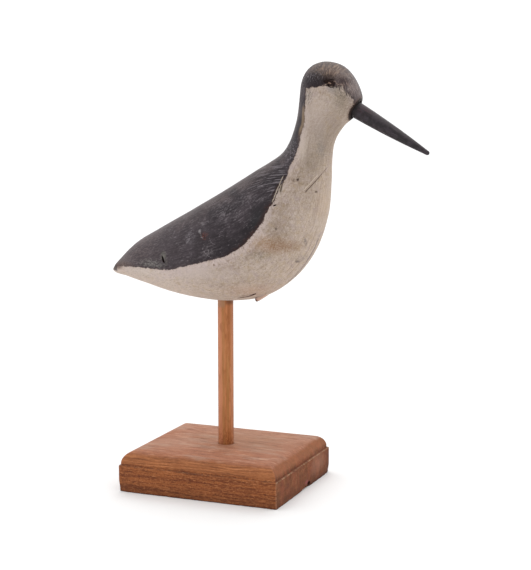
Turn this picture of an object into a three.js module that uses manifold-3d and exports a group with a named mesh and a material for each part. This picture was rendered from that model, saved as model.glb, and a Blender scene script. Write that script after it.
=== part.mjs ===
import * as THREE from "three";
import { mergeVertices } from "three/addons/utils/BufferGeometryUtils.js";
import Module from "manifold-3d";

// A shorebird decoy on its stand: a bird carved in one piece of wood, with a tapered dowel for a
// bill and a tack for each eye, held up by a dowel over a wooden block with a moulded top edge.
// Sizes are in millimetres. +Z is up and the bird looks along +X.
// The origin is the middle of the block's underside.

// Block
const blockLength = 102;
const blockWidth = 89;
const plinthHeight = 16; // from the underside to the small step under the rounded edge
const stepWidth = 1.2;
const stepRise = 0.9;
const edgeRadius = 7.2; // the rounded top edge
const bottomWear = 0.5; // how far the bottom edges are worn back
const cornerRadius = 0.9; // the worn upright corners
const blockHeight = plinthHeight + stepRise + edgeRadius;

// A chip out of the front end's bottom edge. Across is measured from the block's middle.
const chipAcross = 5.2;
const chipLength = 9;
const chipHeight = 3.4;
const chipDepth = 2.2;

// Stick
const stickDiameter = 9.5;
const stickShowing = 88.4; // between the block and the belly
const woodUnderStick = 6; // what is left of the block below the stick's hole
const stickInBird = 26;
const stickBevel = 0.6;

// Clearance round everything that sits in a drilled hole, and at the hole's bottom
const fit = 0.3;

// Bird, from its tail tip to its forehead
const birdLength = 158;

// Bill
const billDiameter = 9.6;
const billShowing = 49.5;
const billInHead = 12;
const billTipDiameter = 2.5;
const billSwell = 0.4; // how much fuller than a plain cone its middle is
const billDroop = 29; // degrees below level
const billMouthGap = 0.8; // how much wider than the bill its hole is at the face
const billMouthDepth = 4;

// Eye tacks
const eyeDiameter = 4;
const eyeDome = 0.7;
const eyeShank = 1.4;
const eyeShankLength = 5;
const eyeHoleDepth = 0.9; // the chipped ring round the tack

// Split low on the right side, and the splinter that has lifted beside it
const splitDepth = 3.2;
const splitOpening = 1.5; // at its front end
const splinterWidth = 5; // at its root
const splinterEndWidth = 3.2;
const splinterThickness = 1.5;
const splinterSink = 0.9; // how far under the skin its outer face starts, at the root
const splinterLift = 2.3; // how far off the skin its outer face stands, at the free end

// The bird's cross sections, from the tail tip to the crown. Each is cut through one point of the
// back and one of the belly or throat. Places and half widths are in hundredths of birdLength,
// from the point of the belly where the stick goes in; widest is how far up the section its
// widest place is, and full is 2 for an ellipse and more for a squarer section.
const sections = [
  { at: "tail tip", back: [-47.8, 9.1], belly: [-47.8, 9.1], half: 0, widest: 0.5, full: 1.8 },
  { at: "tail", back: [-43.1, 15.0], belly: [-40.4, 7.0], half: 5.4, widest: 0.42, full: 1.85 },
  { at: "rump", back: [-36.4, 21.0], belly: [-32.6, 5.1], half: 9.0, widest: 0.4, full: 1.9 },
  { at: "lower back", back: [-27.4, 26.3], belly: [-22.6, 2.7], half: 12.4, widest: 0.4, full: 2 },
  { at: "mid back", back: [-17.0, 32.1], belly: [-10.8, 0.8], half: 15.2, widest: 0.42, full: 2.05 },
  { at: "wings", back: [-6.0, 38.3], belly: [2.6, 0.3], half: 16.8, widest: 0.44, full: 2.1 },
  { at: "shoulders", back: [4.8, 44.7], belly: [16.4, 2.7], half: 17.0, widest: 0.45, full: 2.1 },
  { at: "breast", back: [13.7, 50.2], belly: [27.9, 10.2], half: 16.0, widest: 0.46, full: 2.1 },
  { at: "upper breast", back: [20.3, 54.2], belly: [35.9, 20.6], half: 14.2, widest: 0.48, full: 2.1 },
  { at: "neck foot", back: [24.4, 57.3], belly: [40.6, 33.6], half: 12.0, widest: 0.5, full: 2.05 },
  { at: "lower neck", back: [27.0, 61.3], belly: [41.9, 45.2], half: 10.2, widest: 0.5, full: 2 },
  { at: "neck", back: [28.7, 65.7], belly: [42.2, 54.4], half: 8.9, widest: 0.5, full: 2 },
  { at: "upper neck", back: [29.9, 70.2], belly: [43.4, 61.2], half: 8.3, widest: 0.5, full: 2 },
  { at: "throat", back: [30.5, 75.0], belly: [46.8, 66.8], half: 8.5, widest: 0.5, full: 2 },
  { at: "chin", back: [30.9, 79.2], belly: [51.2, 70.9], half: 9.3, widest: 0.5, full: 2.05 },
  { at: "face", back: [31.6, 83.4], belly: [53.6, 76.8], half: 9.7, widest: 0.5, full: 2.1 },
  { at: "brow", back: [33.6, 87.2], belly: [51.5, 83.1], half: 8.6, widest: 0.5, full: 2.1 },
  { at: "cap", back: [37.0, 89.6], belly: [47.5, 88.0], half: 5.4, widest: 0.5, full: 2 },
  { at: "crown", back: [42.0, 90.3], belly: [42.0, 90.3], half: 0, widest: 0.5, full: 2 },
];
const ringsPerSection = 4;
const pointsPerRing = 44;

// Where things are on the bird: in hundredths of birdLength, or as [place, turn], the place
// counted in sections from the tail tip and the turn in degrees round the section from the
// bird's left side, so that 90 is the back, 180 the right side and 270 the belly.
const billRoot = [52.2, 73.0];
const eyePlace = [45.4, 82.7];
const splitFrom = [5.2, 238];
const splitTo = [6.06, 243];
const splinterRoot = [6.45, 259];
const splinterEnd = [5.84, 257];

const hundredth = birdLength / 100;
const bellyHeight = blockHeight + stickShowing;
const up = new THREE.Vector3(0, 0, 1);

const wasm = await Module();
wasm.setup();

function solidFrom(geometry) {
  const bare = geometry.index ? geometry.toNonIndexed() : geometry.clone();
  bare.deleteAttribute("normal");
  bare.deleteAttribute("uv");
  const merged = mergeVertices(bare, 1e-4);
  return new wasm.Manifold(
    new wasm.Mesh({
      numProp: 3,
      vertProperties: new Float32Array(merged.attributes.position.array),
      triVerts: new Uint32Array(merged.index.array),
    }),
  );
}

function geometryFrom(solid) {
  const { vertProperties, triVerts } = solid.getMesh();
  const indexed = new THREE.BufferGeometry();
  indexed.setAttribute("position", new THREE.BufferAttribute(vertProperties, 3));
  indexed.setIndex(new THREE.BufferAttribute(triVerts, 1));
  const geometry = indexed.toNonIndexed();
  geometry.computeVertexNormals();
  return geometry;
}

function middle(ring) {
  return ring.reduce((sum, p) => sum.add(p), new THREE.Vector3()).divideScalar(ring.length);
}

// A closed skin over rings that all have the same number of points. Seen from the first ring
// towards the last, the points of each ring run clockwise.
function skinOver(rings, first = middle(rings[0]), last = middle(rings[rings.length - 1])) {
  const count = rings[0].length;
  const points = rings.flat();
  const faces = [];
  for (let r = 0; r + 1 < rings.length; r++) {
    for (let i = 0; i < count; i++) {
      const a = r * count + i;
      const b = r * count + ((i + 1) % count);
      faces.push(a, b, b + count, a, b + count, a + count);
    }
  }
  const firstPoint = points.push(first) - 1;
  const lastPoint = points.push(last) - 1;
  const lastRing = (rings.length - 1) * count;
  for (let i = 0; i < count; i++) {
    const next = (i + 1) % count;
    faces.push(firstPoint, next, i, lastPoint, lastRing + i, lastRing + next);
  }
  const geometry = new THREE.BufferGeometry().setFromPoints(points);
  geometry.setIndex(faces);
  return geometry;
}

// A turned solid whose axis runs along the given direction from the given point.
// profile holds [distance along the axis, radius] from one end to the other.
function turned(profile, from, direction, segments) {
  const outline = profile.map(([along, radius]) => new THREE.Vector2(radius, along));
  const geometry = new THREE.LatheGeometry(outline, segments);
  const turn = new THREE.Quaternion().setFromUnitVectors(new THREE.Vector3(0, 1, 0), direction);
  geometry.applyQuaternion(turn);
  geometry.translate(from.x, from.y, from.z);
  return geometry;
}

// Bird

function onBird([x, z], y = 0) {
  return new THREE.Vector3(x * hundredth, y, bellyHeight + z * hundredth);
}

// One closed curve runs up the back from the tail tip to the crown and down the breast again.
// Its y is the half width, taken negative on the way down, so that both ends close round.
const top = sections.length - 1;
const outline = new THREE.CatmullRomCurve3(
  [
    ...sections.map((s) => new THREE.Vector3(s.back[0], s.half, s.back[1])),
    ...sections
      .slice(1, top)
      .reverse()
      .map((s) => new THREE.Vector3(s.belly[0], -s.half, s.belly[1])),
  ],
  true,
  "catmullrom",
);
const shapes = new THREE.CatmullRomCurve3(
  sections.map((s) => new THREE.Vector3(s.widest, s.full, 0)),
  false,
  "catmullrom",
);

// The section at a place counted in sections from the tail tip.
function sectionAt(place) {
  const back = outline.getPoint(place / (2 * top));
  const belly = outline.getPoint(1 - place / (2 * top));
  const shape = shapes.getPoint(place / top);
  return {
    back: onBird([back.x, back.z]),
    belly: onBird([belly.x, belly.z]),
    half: ((back.y - belly.y) / 2) * hundredth,
    widest: shape.x,
    full: shape.y,
  };
}

// A point of a section, at a turn in degrees.
function pointOn(section, turn) {
  const squarer = (value) => Math.sign(value) * Math.abs(value) ** (2 / section.full);
  const angle = THREE.MathUtils.degToRad(turn);
  const height = squarer(Math.sin(angle));
  const share = section.widest + height * (height > 0 ? 1 - section.widest : section.widest);
  const point = section.belly.clone().lerp(section.back, share);
  point.y = section.half * squarer(Math.cos(angle));
  return point;
}

function birdSkin() {
  const rings = [];
  for (let r = 1; r < top * ringsPerSection; r++) {
    const section = sectionAt(r / ringsPerSection);
    const ring = [];
    for (let i = 0; i < pointsPerRing; i++) {
      ring.push(pointOn(section, (360 * i) / pointsPerRing));
    }
    rings.push(ring);
  }
  return skinOver(rings, onBird(sections[0].back), onBird(sections[top].back));
}

// The skin's frame at a share of the way between two [place, turn]s: the point there, the way
// out of the wood, the way along, and the way across.
function skinFrame(from, to, share) {
  const at = (extra) => {
    const place = THREE.MathUtils.lerp(from[0], to[0], share + extra);
    const turn = THREE.MathUtils.lerp(from[1], to[1], share + extra);
    return { place, turn, point: pointOn(sectionAt(place), turn) };
  };
  const here = at(0);
  const along = at(0.02).point.sub(here.point).normalize();
  const round = pointOn(sectionAt(here.place), here.turn + 1).sub(here.point);
  const out = along.clone().cross(round).normalize();
  if (out.dot(here.point.clone().sub(middleOf(here.place))) < 0) {
    out.negate();
  }
  return { point: here.point, out, along, across: out.clone().cross(along) };
}

function middleOf(place) {
  const section = sectionAt(place);
  return section.belly.clone().lerp(section.back, 0.5);
}

// A bar laid along the skin. size(share) gives its half width and its lower and upper face,
// measured out of the skin.
function barOnSkin(from, to, steps, size) {
  const rings = [];
  for (let i = 0; i <= steps; i++) {
    const share = i / steps;
    const frame = skinFrame(from, to, share);
    const { halfBottom, halfTop, bottom, above } = size(share);
    const corner = (across, out) =>
      frame.point.clone().addScaledVector(frame.across, across).addScaledVector(frame.out, out);
    rings.push([
      corner(-halfBottom, bottom),
      corner(halfBottom, bottom),
      corner(halfTop, above),
      corner(-halfTop, above),
    ]);
  }
  return skinOver(rings);
}

// The split is a wedge that opens towards its front end and is deepest in the middle.
function split() {
  const hair = 0.05; // half the least width and depth, at its rear end
  const steps = 8;
  return barOnSkin(splitFrom, splitTo, steps, (share) => ({
    halfBottom: hair,
    halfTop: hair + (splitOpening / 2) * share,
    bottom: -hair - splitDepth * Math.sin(Math.PI * share),
    above: splitOpening,
  }));
}

// The splinter is sunk in the wood at its root and stands off the skin at its free end.
function splinter() {
  const steps = 6;
  const outerFaceShare = 0.8; // how much narrower the outer face is than the inner one
  return barOnSkin(splinterRoot, splinterEnd, steps, (share) => {
    const above = splinterLift * share - splinterSink * (1 - share);
    const half = THREE.MathUtils.lerp(splinterWidth, splinterEndWidth, share) / 2;
    return {
      halfBottom: half,
      halfTop: outerFaceShare * half,
      bottom: above - splinterThickness,
      above,
    };
  });
}

const billAngle = THREE.MathUtils.degToRad(billDroop);
const billForward = new THREE.Vector3(Math.cos(billAngle), 0, -Math.sin(billAngle));
const billRadius = billDiameter / 2;
const billSides = 28;
const stickRadius = stickDiameter / 2;
const stickSides = 40;
const eyeRadius = eyeDiameter / 2;
const eyeSides = 18;

function billSocket() {
  const mouth = billRadius + billMouthGap;
  const hole = billRadius + fit;
  const profile = [
    [-billInHead - fit, 0],
    [-billInHead - fit, hole],
    [-billMouthDepth, hole],
    [-billMouthDepth + billMouthGap, mouth],
    [2 * billDiameter, mouth],
    [2 * billDiameter, 0],
  ];
  return turned(profile, onBird(billRoot), billForward, billSides);
}

// A hole for the stick, from below its mouth to the bottom of the hole.
function stickHole(mouth, bottom, direction) {
  const hole = stickRadius + fit;
  const length = Math.abs(bottom - mouth) + fit;
  const profile = [
    [-stickDiameter, 0],
    [-stickDiameter, hole],
    [length, hole],
    [length, 0],
  ];
  return turned(profile, new THREE.Vector3(0, 0, mouth), direction, stickSides);
}

// How far out the bird's side is at a place of its profile, from the section nearest to it.
function sideAt(place) {
  const target = onBird(place);
  const finer = 20;
  let nearest = Infinity;
  let half = 0;
  for (let r = 1; r < top * finer; r++) {
    const section = sectionAt(r / finer);
    const rise = section.back.clone().sub(section.belly);
    const share = target.clone().sub(section.belly).dot(rise) / rise.lengthSq();
    const gap = section.belly.clone().addScaledVector(rise, share).distanceTo(target);
    if (gap < nearest) {
      const reach = share > section.widest ? 1 - section.widest : section.widest;
      const height = Math.min(1, Math.abs(share - section.widest) / reach);
      nearest = gap;
      half = section.half * (1 - height ** section.full) ** (1 / section.full);
    }
  }
  return half;
}

const eyeSide = sideAt(eyePlace);

function eyeSocket(side) {
  const shankHole = eyeShank / 2 + fit;
  const ring = eyeRadius + fit;
  const profile = [
    [-eyeShankLength - fit, 0],
    [-eyeShankLength - fit, shankHole],
    [-eyeHoleDepth, shankHole],
    [-eyeHoleDepth, ring],
    [eyeDiameter, ring + fit],
    [eyeDiameter, 0],
  ];
  return turned(profile, onBird(eyePlace, side * eyeSide), new THREE.Vector3(0, side, 0), eyeSides);
}

function bird() {
  const cuts = [
    split(),
    billSocket(),
    stickHole(bellyHeight, bellyHeight + stickInBird, up),
    eyeSocket(1),
    eyeSocket(-1),
  ];
  let solid = solidFrom(birdSkin());
  for (const cut of cuts) {
    solid = solid.subtract(solidFrom(cut));
  }
  return geometryFrom(solid.add(solidFrom(splinter())));
}

// The bill is a dowel turned down to a blunt round point.
function bill() {
  const tip = billTipDiameter / 2;
  const taperSteps = 10;
  const roundSteps = 4;
  const profile = [
    [-billInHead, 0],
    [-billInHead, billRadius],
  ];
  for (let i = 0; i <= taperSteps; i++) {
    const share = i / taperSteps;
    const swell = billSwell * Math.sin(Math.PI * share);
    const radius = THREE.MathUtils.lerp(billRadius, tip, share) + swell;
    profile.push([share * (billShowing - tip), radius]);
  }
  for (let i = 1; i <= roundSteps; i++) {
    const angle = (i * Math.PI) / 2 / roundSteps;
    const radius = i < roundSteps ? tip * Math.cos(angle) : 0;
    profile.push([billShowing - tip + tip * Math.sin(angle), radius]);
  }
  return turned(profile, onBird(billRoot), billForward, billSides);
}

function eyeTack(side) {
  const domeSteps = 5;
  const profile = [
    [-eyeShankLength, 0],
    [-eyeShankLength, eyeShank / 2],
    [-eyeHoleDepth + fit, eyeShank / 2],
    [-eyeHoleDepth + fit, eyeRadius],
  ];
  for (let i = 0; i <= domeSteps; i++) {
    const angle = (i * Math.PI) / 2 / domeSteps;
    const radius = i < domeSteps ? eyeRadius * Math.cos(angle) : 0;
    profile.push([eyeDome * Math.sin(angle), radius]);
  }
  return turned(profile, onBird(eyePlace, side * eyeSide), new THREE.Vector3(0, side, 0), eyeSides);
}

// Stick

function stick() {
  const length = blockHeight - woodUnderStick + stickShowing + stickInBird;
  const profile = [
    [0, 0],
    [0, stickRadius - stickBevel],
    [stickBevel, stickRadius],
    [length - stickBevel, stickRadius],
    [length, stickRadius - stickBevel],
    [length, 0],
  ];
  return turned(profile, new THREE.Vector3(0, 0, woodUnderStick), up, stickSides);
}

// Block: rectangles stacked up its moulded edge, each drawn in by its inset

function blockRing(height, inset) {
  const x = blockLength / 2 - inset - cornerRadius;
  const y = blockWidth / 2 - inset - cornerRadius;
  const cornerSteps = 3;
  const ring = [];
  for (const [signX, signY] of [
    [1, 1],
    [-1, 1],
    [-1, -1],
    [1, -1],
  ]) {
    const start = Math.atan2(signY, signX) - Math.PI / 4;
    for (let i = 0; i <= cornerSteps; i++) {
      const angle = start + (i * Math.PI) / 2 / cornerSteps;
      const cornerX = signX * x + cornerRadius * Math.cos(angle);
      const cornerY = signY * y + cornerRadius * Math.sin(angle);
      ring.push(new THREE.Vector3(cornerX, cornerY, height));
    }
  }
  return ring;
}

// The chip is a hollow with a steep back and a sloping roof, deepest in the middle and coming
// to nothing at both ends.
function chip() {
  const outside = 1; // how far the cutter stands out of the block
  const hair = 0.05; // its size at the two ends
  const face = blockLength / 2;
  const steps = 6;
  const rings = [];
  for (let i = 0; i <= steps; i++) {
    const share = i / steps;
    const size = Math.sin(Math.PI * share);
    const depth = hair + chipDepth * size;
    const height = hair + chipHeight * size;
    const y = chipAcross + chipLength * (share - 0.5);
    rings.push([
      new THREE.Vector3(face - depth, y, -outside),
      new THREE.Vector3(face - depth, y, height / 3),
      new THREE.Vector3(face + outside, y, height),
      new THREE.Vector3(face + outside, y, -outside),
    ]);
  }
  return skinOver(rings);
}

function block() {
  const rings = [
    blockRing(0, bottomWear),
    blockRing(bottomWear, 0),
    blockRing(plinthHeight, 0),
    blockRing(plinthHeight, stepWidth),
  ];
  const steps = 8;
  for (let i = 0; i <= steps; i++) {
    const angle = (i * Math.PI) / 2 / steps;
    const height = plinthHeight + stepRise + edgeRadius * Math.sin(angle);
    rings.push(blockRing(height, stepWidth + edgeRadius * (1 - Math.cos(angle))));
  }
  const hole = stickHole(blockHeight, woodUnderStick, up.clone().negate());
  return geometryFrom(
    solidFrom(skinOver(rings)).subtract(solidFrom(hole)).subtract(solidFrom(chip())),
  );
}

function mesh(name, geometry, color, roughness, metalness = 0) {
  const material = new THREE.MeshStandardMaterial({ color, roughness, metalness });
  const made = new THREE.Mesh(geometry, material);
  made.name = name;
  return made;
}

const decoy = new THREE.Group();
decoy.add(mesh("base_block", block(), 0x9a6446, 0.6));
decoy.add(mesh("stick", stick(), 0xa96f48, 0.55));
decoy.add(mesh("bird_body", bird(), 0xb0a193, 0.75));
decoy.add(mesh("bill", bill(), 0x3a3739, 0.5));
decoy.add(mesh("eye_right", eyeTack(-1), 0x4a352a, 0.45, 0.6));
decoy.add(mesh("eye_left", eyeTack(1), 0x4a352a, 0.45, 0.6));

export default decoy;
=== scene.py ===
import math

import bmesh
import bpy
import numpy as np
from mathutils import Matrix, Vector, kdtree


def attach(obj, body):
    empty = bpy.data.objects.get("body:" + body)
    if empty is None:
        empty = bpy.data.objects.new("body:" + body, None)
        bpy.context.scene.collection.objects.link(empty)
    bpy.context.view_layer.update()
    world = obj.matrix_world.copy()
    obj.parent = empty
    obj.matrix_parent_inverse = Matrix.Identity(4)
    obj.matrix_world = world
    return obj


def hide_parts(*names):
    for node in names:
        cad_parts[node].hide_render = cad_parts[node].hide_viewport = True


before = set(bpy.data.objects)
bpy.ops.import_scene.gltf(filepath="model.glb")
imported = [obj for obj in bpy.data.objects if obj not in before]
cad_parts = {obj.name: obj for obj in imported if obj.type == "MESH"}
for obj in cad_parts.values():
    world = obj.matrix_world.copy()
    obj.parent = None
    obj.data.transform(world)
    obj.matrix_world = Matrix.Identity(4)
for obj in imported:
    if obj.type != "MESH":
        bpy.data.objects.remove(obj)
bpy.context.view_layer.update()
scene = bpy.context.scene
mm = 0.001


studioGain = 1.15  # how much brighter than its own colour a matt surface looks in the studio


def tone(red, green, blue):
    # a paint or wood colour, given as it looks in the studio, in screen values from 0 to 255
    def linear(value):
        share = value / 255
        return share / 12.92 if share <= 0.04045 else ((share + 0.055) / 1.055) ** 2.4

    return tuple(linear(value) / studioGain for value in (red, green, blue)) + (1.0,)


# Node trees as expressions

def unit(vector):
    return vector / np.linalg.norm(vector)


class Wire:
    # one output of a node; arithmetic on it adds Math nodes to its tree
    def __init__(self, board, socket):
        self.board = board
        self.socket = socket

    def other(self, output):
        return Wire(self.board, self.socket.node.outputs[output])

    def maths(self, operation, *others):
        return self.board.maths(operation, self, *others)

    def vectors(self, operation, *others, output=0):
        return self.board.vectors(operation, self, *others, output=output)

    def __add__(self, value):
        return self.maths("ADD", value)

    def __sub__(self, value):
        return self.maths("SUBTRACT", value)

    def __rsub__(self, value):
        return self.board.maths("SUBTRACT", value, self)

    def __mul__(self, value):
        return self.maths("MULTIPLY", value)

    def __truediv__(self, value):
        return self.maths("DIVIDE", value)

    def __rtruediv__(self, value):
        return self.board.maths("DIVIDE", value, self)

    def __abs__(self):
        return self.maths("ABSOLUTE")

    __radd__ = __add__
    __rmul__ = __mul__

    def atLeast(self, value):
        return self.maths("MAXIMUM", value)

    def atMost(self, value):
        return self.maths("MINIMUM", value)

    def ramp(self, low, high):
        # runs straight from 0 at low to 1 at high
        return ((self - low) / (high - low)).atLeast(0.0).atMost(1.0)

    def step(self, low, high):
        # runs smoothly from 0 at low to 1 at high; low may be the greater
        values = {"Value": self, "From Min": low, "From Max": high}
        return self.board.node("ShaderNodeMapRange", {"interpolation_type": "SMOOTHSTEP"}, values)

    def band(self, low, full, still, high):
        # 1 from full to still, 0 below low and above high
        return self.step(low, full) * self.step(high, still)

    def split(self):
        x = self.board.node("ShaderNodeSeparateXYZ", values={0: self})
        return x, x.other(1), x.other(2)

    def minus(self, point):
        return self.vectors("SUBTRACT", tuple(point))

    def dot(self, way):
        return self.vectors("DOT_PRODUCT", tuple(way), output="Value")

    def length(self):
        return self.vectors("LENGTH", output="Value")

    def noise(self, scale, detail=2.0, roughness=0.5, distortion=0.0):
        # the scale is a number, or one for each of X, Y and Z
        vector = self
        if isinstance(scale, tuple):
            vector, scale = self.vectors("MULTIPLY", scale), 1.0
        values = {
            "Vector": vector,
            "Scale": scale,
            "Detail": detail,
            "Roughness": roughness,
            "Distortion": distortion,
        }
        return self.board.node("ShaderNodeTexNoise", values=values)

    def spot(self, centre, reach, soft=0.35, rag=0.0):
        # 1 inside an egg round the centre, 0 outside it
        away = self.minus(centre).vectors("DIVIDE", reach)
        return (away.length() + rag).step(1 + soft, 1 - soft)

    def line(self, start, end, out, width, rag=0.0):
        # 1 along a straight line on the surface whose way out is given, 0 off it
        start, end, out = (np.array(v, float) for v in (start, end, out))
        length = np.linalg.norm(end - start)
        way = (end - start) / length
        local = self.minus(start)
        across, along, lift = (local.dot(v) for v in (unit(np.cross(way, out)), way / length, unit(out)))
        mask = abs(across + rag).step(width, 0.25 * width)
        return mask * abs(along - 0.5).step(0.56, 0.44) * abs(lift).step(6, 5)

    def curve(self, points, width, rag=0.0):
        # 1 along a bent line through the points, seen from the side, 0 off it
        nearest = None
        for (x0, z0), (x1, z1) in zip(points[:-1], points[1:]):
            way = np.array((x1 - x0, 0.0, z1 - z0))
            local = self.minus((x0, 0.0, z0))
            share = local.dot(way / (way @ way)).atLeast(0.0).atMost(1.0)
            away = local.vectors("SUBTRACT", self.board.times(tuple(way), share)).length()
            nearest = away if nearest is None else nearest.atMost(away)
        return (nearest + rag).step(width, 0.3 * width)


class Coat(Wire):
    # a colour that layers are laid over
    def lay(self, share, red, green, blue):
        self.socket = self.board.blend(share, self, tone(red, green, blue)).socket

    def flecks(self, pattern, *layers, where=1.0):
        # each layer: the pattern's values where it starts and is full, its strength and its colour
        for low, high, strength, *shade in layers:
            self.lay(pattern.step(low, high) * (where * strength), *shade)


class Board:
    # a shader or geometry tree that is written node by node
    def __init__(self, tree):
        self.tree = tree

    def node(self, kind, settings=None, values=None, output=0):
        made = self.tree.nodes.new(kind)
        for name, value in (settings or {}).items():
            setattr(made, name, value)
        for name, value in (values or {}).items():
            if isinstance(value, Wire):
                self.tree.links.new(value.socket, made.inputs[name])
            else:
                made.inputs[name].default_value = value
        return Wire(self, made.outputs[output]) if len(made.outputs) else made

    def maths(self, operation, *values):
        return self.node("ShaderNodeMath", {"operation": operation}, dict(enumerate(values)))

    def vectors(self, operation, *values, output=0):
        return self.node("ShaderNodeVectorMath", {"operation": operation}, dict(enumerate(values)), output)

    def times(self, vector, share):
        return self.node("ShaderNodeVectorMath", {"operation": "SCALE"}, {0: vector, "Scale": share})

    def join(self, x, y, z):
        return self.node("ShaderNodeCombineXYZ", values={0: x, 1: y, 2: z})

    def blend(self, share, first, second):
        settings = {"data_type": "RGBA", "clamp_factor": True}
        made = self.node("ShaderNodeMix", settings, {0: share, 6: first, 7: second}, output=2)
        return Coat(self, made.socket)


def inMillimetres(board):
    return board.times(board.node("ShaderNodeTexCoord", output="Object"), 1 / mm)


def startFinish(name):
    material = bpy.data.materials.new(name)
    material.use_nodes = True
    material.node_tree.nodes.clear()
    return material, Board(material.node_tree)


def finishMaterial(board, colour, roughness, height, **steady):
    # height is in millimetres
    bump = board.node("ShaderNodeBump", values={"Height": height, "Distance": mm, "Strength": 1.0})
    values = {"Base Color": colour, "Roughness": roughness, "Normal": bump}
    values.update({name.replace("_", " "): value for name, value in steady.items()})
    surface = board.node("ShaderNodeBsdfPrincipled", values=values)
    board.node("ShaderNodeOutputMaterial", values={"Surface": surface})


# Meshes

def addObject(name, data):
    thing = bpy.data.objects.new(name, data)
    scene.collection.objects.link(thing)
    return thing


def meshObject(name, points, faces):
    mesh = bpy.data.meshes.new(name)
    mesh.from_pydata([tuple(p) for p in np.asarray(points) * mm], [], faces)
    made = bmesh.new()
    made.from_mesh(mesh)
    if made.calc_volume(signed=True) < 0:
        bmesh.ops.reverse_faces(made, faces=made.faces)
    made.to_mesh(mesh)
    made.free()
    mesh.polygons.foreach_set("use_smooth", [True] * len(mesh.polygons))
    return addObject(name, mesh)


def skinOver(name, rings, first, last):
    # a closed skin over rings of equal length, with one point at each end
    count = len(rings[0])
    points = np.vstack([*rings, [first], [last]])
    faces = []
    for r in range(len(rings) - 1):
        for i in range(count):
            a, b = r * count + i, r * count + (i + 1) % count
            faces.append((a, b, b + count, a + count))
    end = (len(rings) - 1) * count
    for i in range(count):
        after = (i + 1) % count
        faces.append((len(points) - 2, after, i))
        faces.append((len(points) - 1, end + i, end + after))
    return meshObject(name, points, faces)


def turned(name, profile, start, direction, sides):
    # profile holds (distance along the axis, radius); its ends have no radius
    direction = np.asarray(direction, float)
    across = unit(np.cross(direction, (0, 1, 0) if abs(direction[1]) < 0.9 else (1, 0, 0)))
    angles = np.linspace(0, 2 * math.pi, sides, endpoint=False)
    circle = np.outer(np.cos(angles), across) + np.outer(np.sin(angles), np.cross(direction, across))
    rings = [start + along * direction + radius * circle for along, radius in profile[1:-1]]
    ends = [start + along * direction for along, radius in (profile[0], profile[-1])]
    return skinOver(name, rings, *ends)


def settle(thing):
    # what the modifiers make becomes the plain mesh
    bpy.context.view_layer.update()
    graph = bpy.context.evaluated_depsgraph_get()
    old, mesh = thing.data, bpy.data.meshes.new_from_object(thing.evaluated_get(graph))
    thing.modifiers.clear()
    thing.data = mesh
    bpy.data.meshes.remove(old)
    mesh.name = thing.name
    return mesh


def discard(*things):
    for thing in things:
        data = thing.data
        bpy.data.objects.remove(thing)
        bpy.data.meshes.remove(data)


def shape(thing, cuts=(), joins=()):
    # cuts and joins are solids that are used up
    for operation, solids in (("DIFFERENCE", cuts), ("UNION", joins)):
        for solid in solids:
            modifier = thing.modifiers.new(solid.name, "BOOLEAN")
            modifier.operation = operation
            modifier.solver = "MANIFOLD"
            modifier.object = solid
    mesh = settle(thing)
    discard(*cuts, *joins)

    # slivers go, and triangles leave no two faces that share more than one edge
    made = bmesh.new()
    made.from_mesh(mesh)
    bmesh.ops.remove_doubles(made, verts=made.verts, dist=2e-7)
    bmesh.ops.dissolve_degenerate(made, dist=1e-6, edges=made.edges)
    bmesh.ops.triangulate(made, faces=made.faces)
    made.to_mesh(mesh)
    made.free()


def softNoise(points, size, seed):
    # smooth noise between -1 and 1, in lumps of the given size
    side = 32
    lattice = np.random.default_rng(seed).uniform(-1, 1, (side, side, side))
    place = points / size
    cell = np.floor(place).astype(int)
    share = place - cell
    share = share * share * (3 - 2 * share)
    total = np.zeros(len(points))
    for corner in np.ndindex(2, 2, 2):
        x, y, z = ((cell + corner) % side).T
        total += np.prod(np.where(corner, share, 1 - share), axis=1) * lattice[x, y, z]
    return total


def wobble(points, size, seed):
    return np.stack([softNoise(points, size, seed + k) for k in range(3)], axis=1)


def fourSided(corners, perSide=6):
    # a ring through four corners, with the same number of points along each side
    return [
        corners[k] + (corners[(k + 1) % 4] - corners[k]) * j / perSide
        for k in range(4)
        for j in range(perSide)
    ]


def smooth(value, low, high):
    share = np.clip((value - low) / (high - low), 0, 1)
    return share * share * (3 - 2 * share)


# Geometry Nodes

def newTree(name, inputs):
    # inputs holds the names and values of the tree's inputs, in metres; each value sets its kind
    tree = bpy.data.node_groups.new(name, "GeometryNodeTree")
    tree.is_modifier = True
    tree.interface.new_socket("Geometry", in_out="OUTPUT", socket_type="NodeSocketGeometry")
    for label, value in inputs.items():
        kind = "Int" if isinstance(value, int) else "Float"
        if isinstance(value, tuple):
            kind = "Vector"
        elif isinstance(value, bpy.types.Material):
            kind = "Material"
        tree.interface.new_socket(label, in_out="INPUT", socket_type="NodeSocket" + kind)
    board = Board(tree)
    start = tree.nodes.new("NodeGroupInput")
    wires = {label: Wire(board, start.outputs[label]) for label in inputs}
    return tree, board, wires


def shifted(board, geometry, way, amount):
    shift = board.times(way, amount)
    return board.node("GeometryNodeSetPosition", values={"Geometry": geometry, "Offset": shift})


def endTree(board, geometry, finish):
    geometry = board.node("GeometryNodeSetShadeSmooth", values={0: geometry})
    geometry = board.node("GeometryNodeRealizeInstances", values={0: geometry})
    geometry = board.node("GeometryNodeSetMaterial", values={0: geometry, "Material": finish})
    board.node("NodeGroupOutput", values={0: geometry})


def grow(name, tree, inputs):
    thing = addObject(name, bpy.data.meshes.new(name))
    modifier = thing.modifiers.new(name, "NODES")
    modifier.node_group = tree
    for item in tree.interface.items_tree:
        if item.in_out == "INPUT":
            modifier[item.identifier] = inputs[item.name]
    settle(thing)
    return thing


# Camera

view = {
    "place": (0.375835, -0.85467, 0.266811),
    "azimuth": 22.259,
    "down": 8.834,
    "focalPixels": 1569.436,
    "pictureHeight": 570,
    "sensor": 36.0,
}


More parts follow.
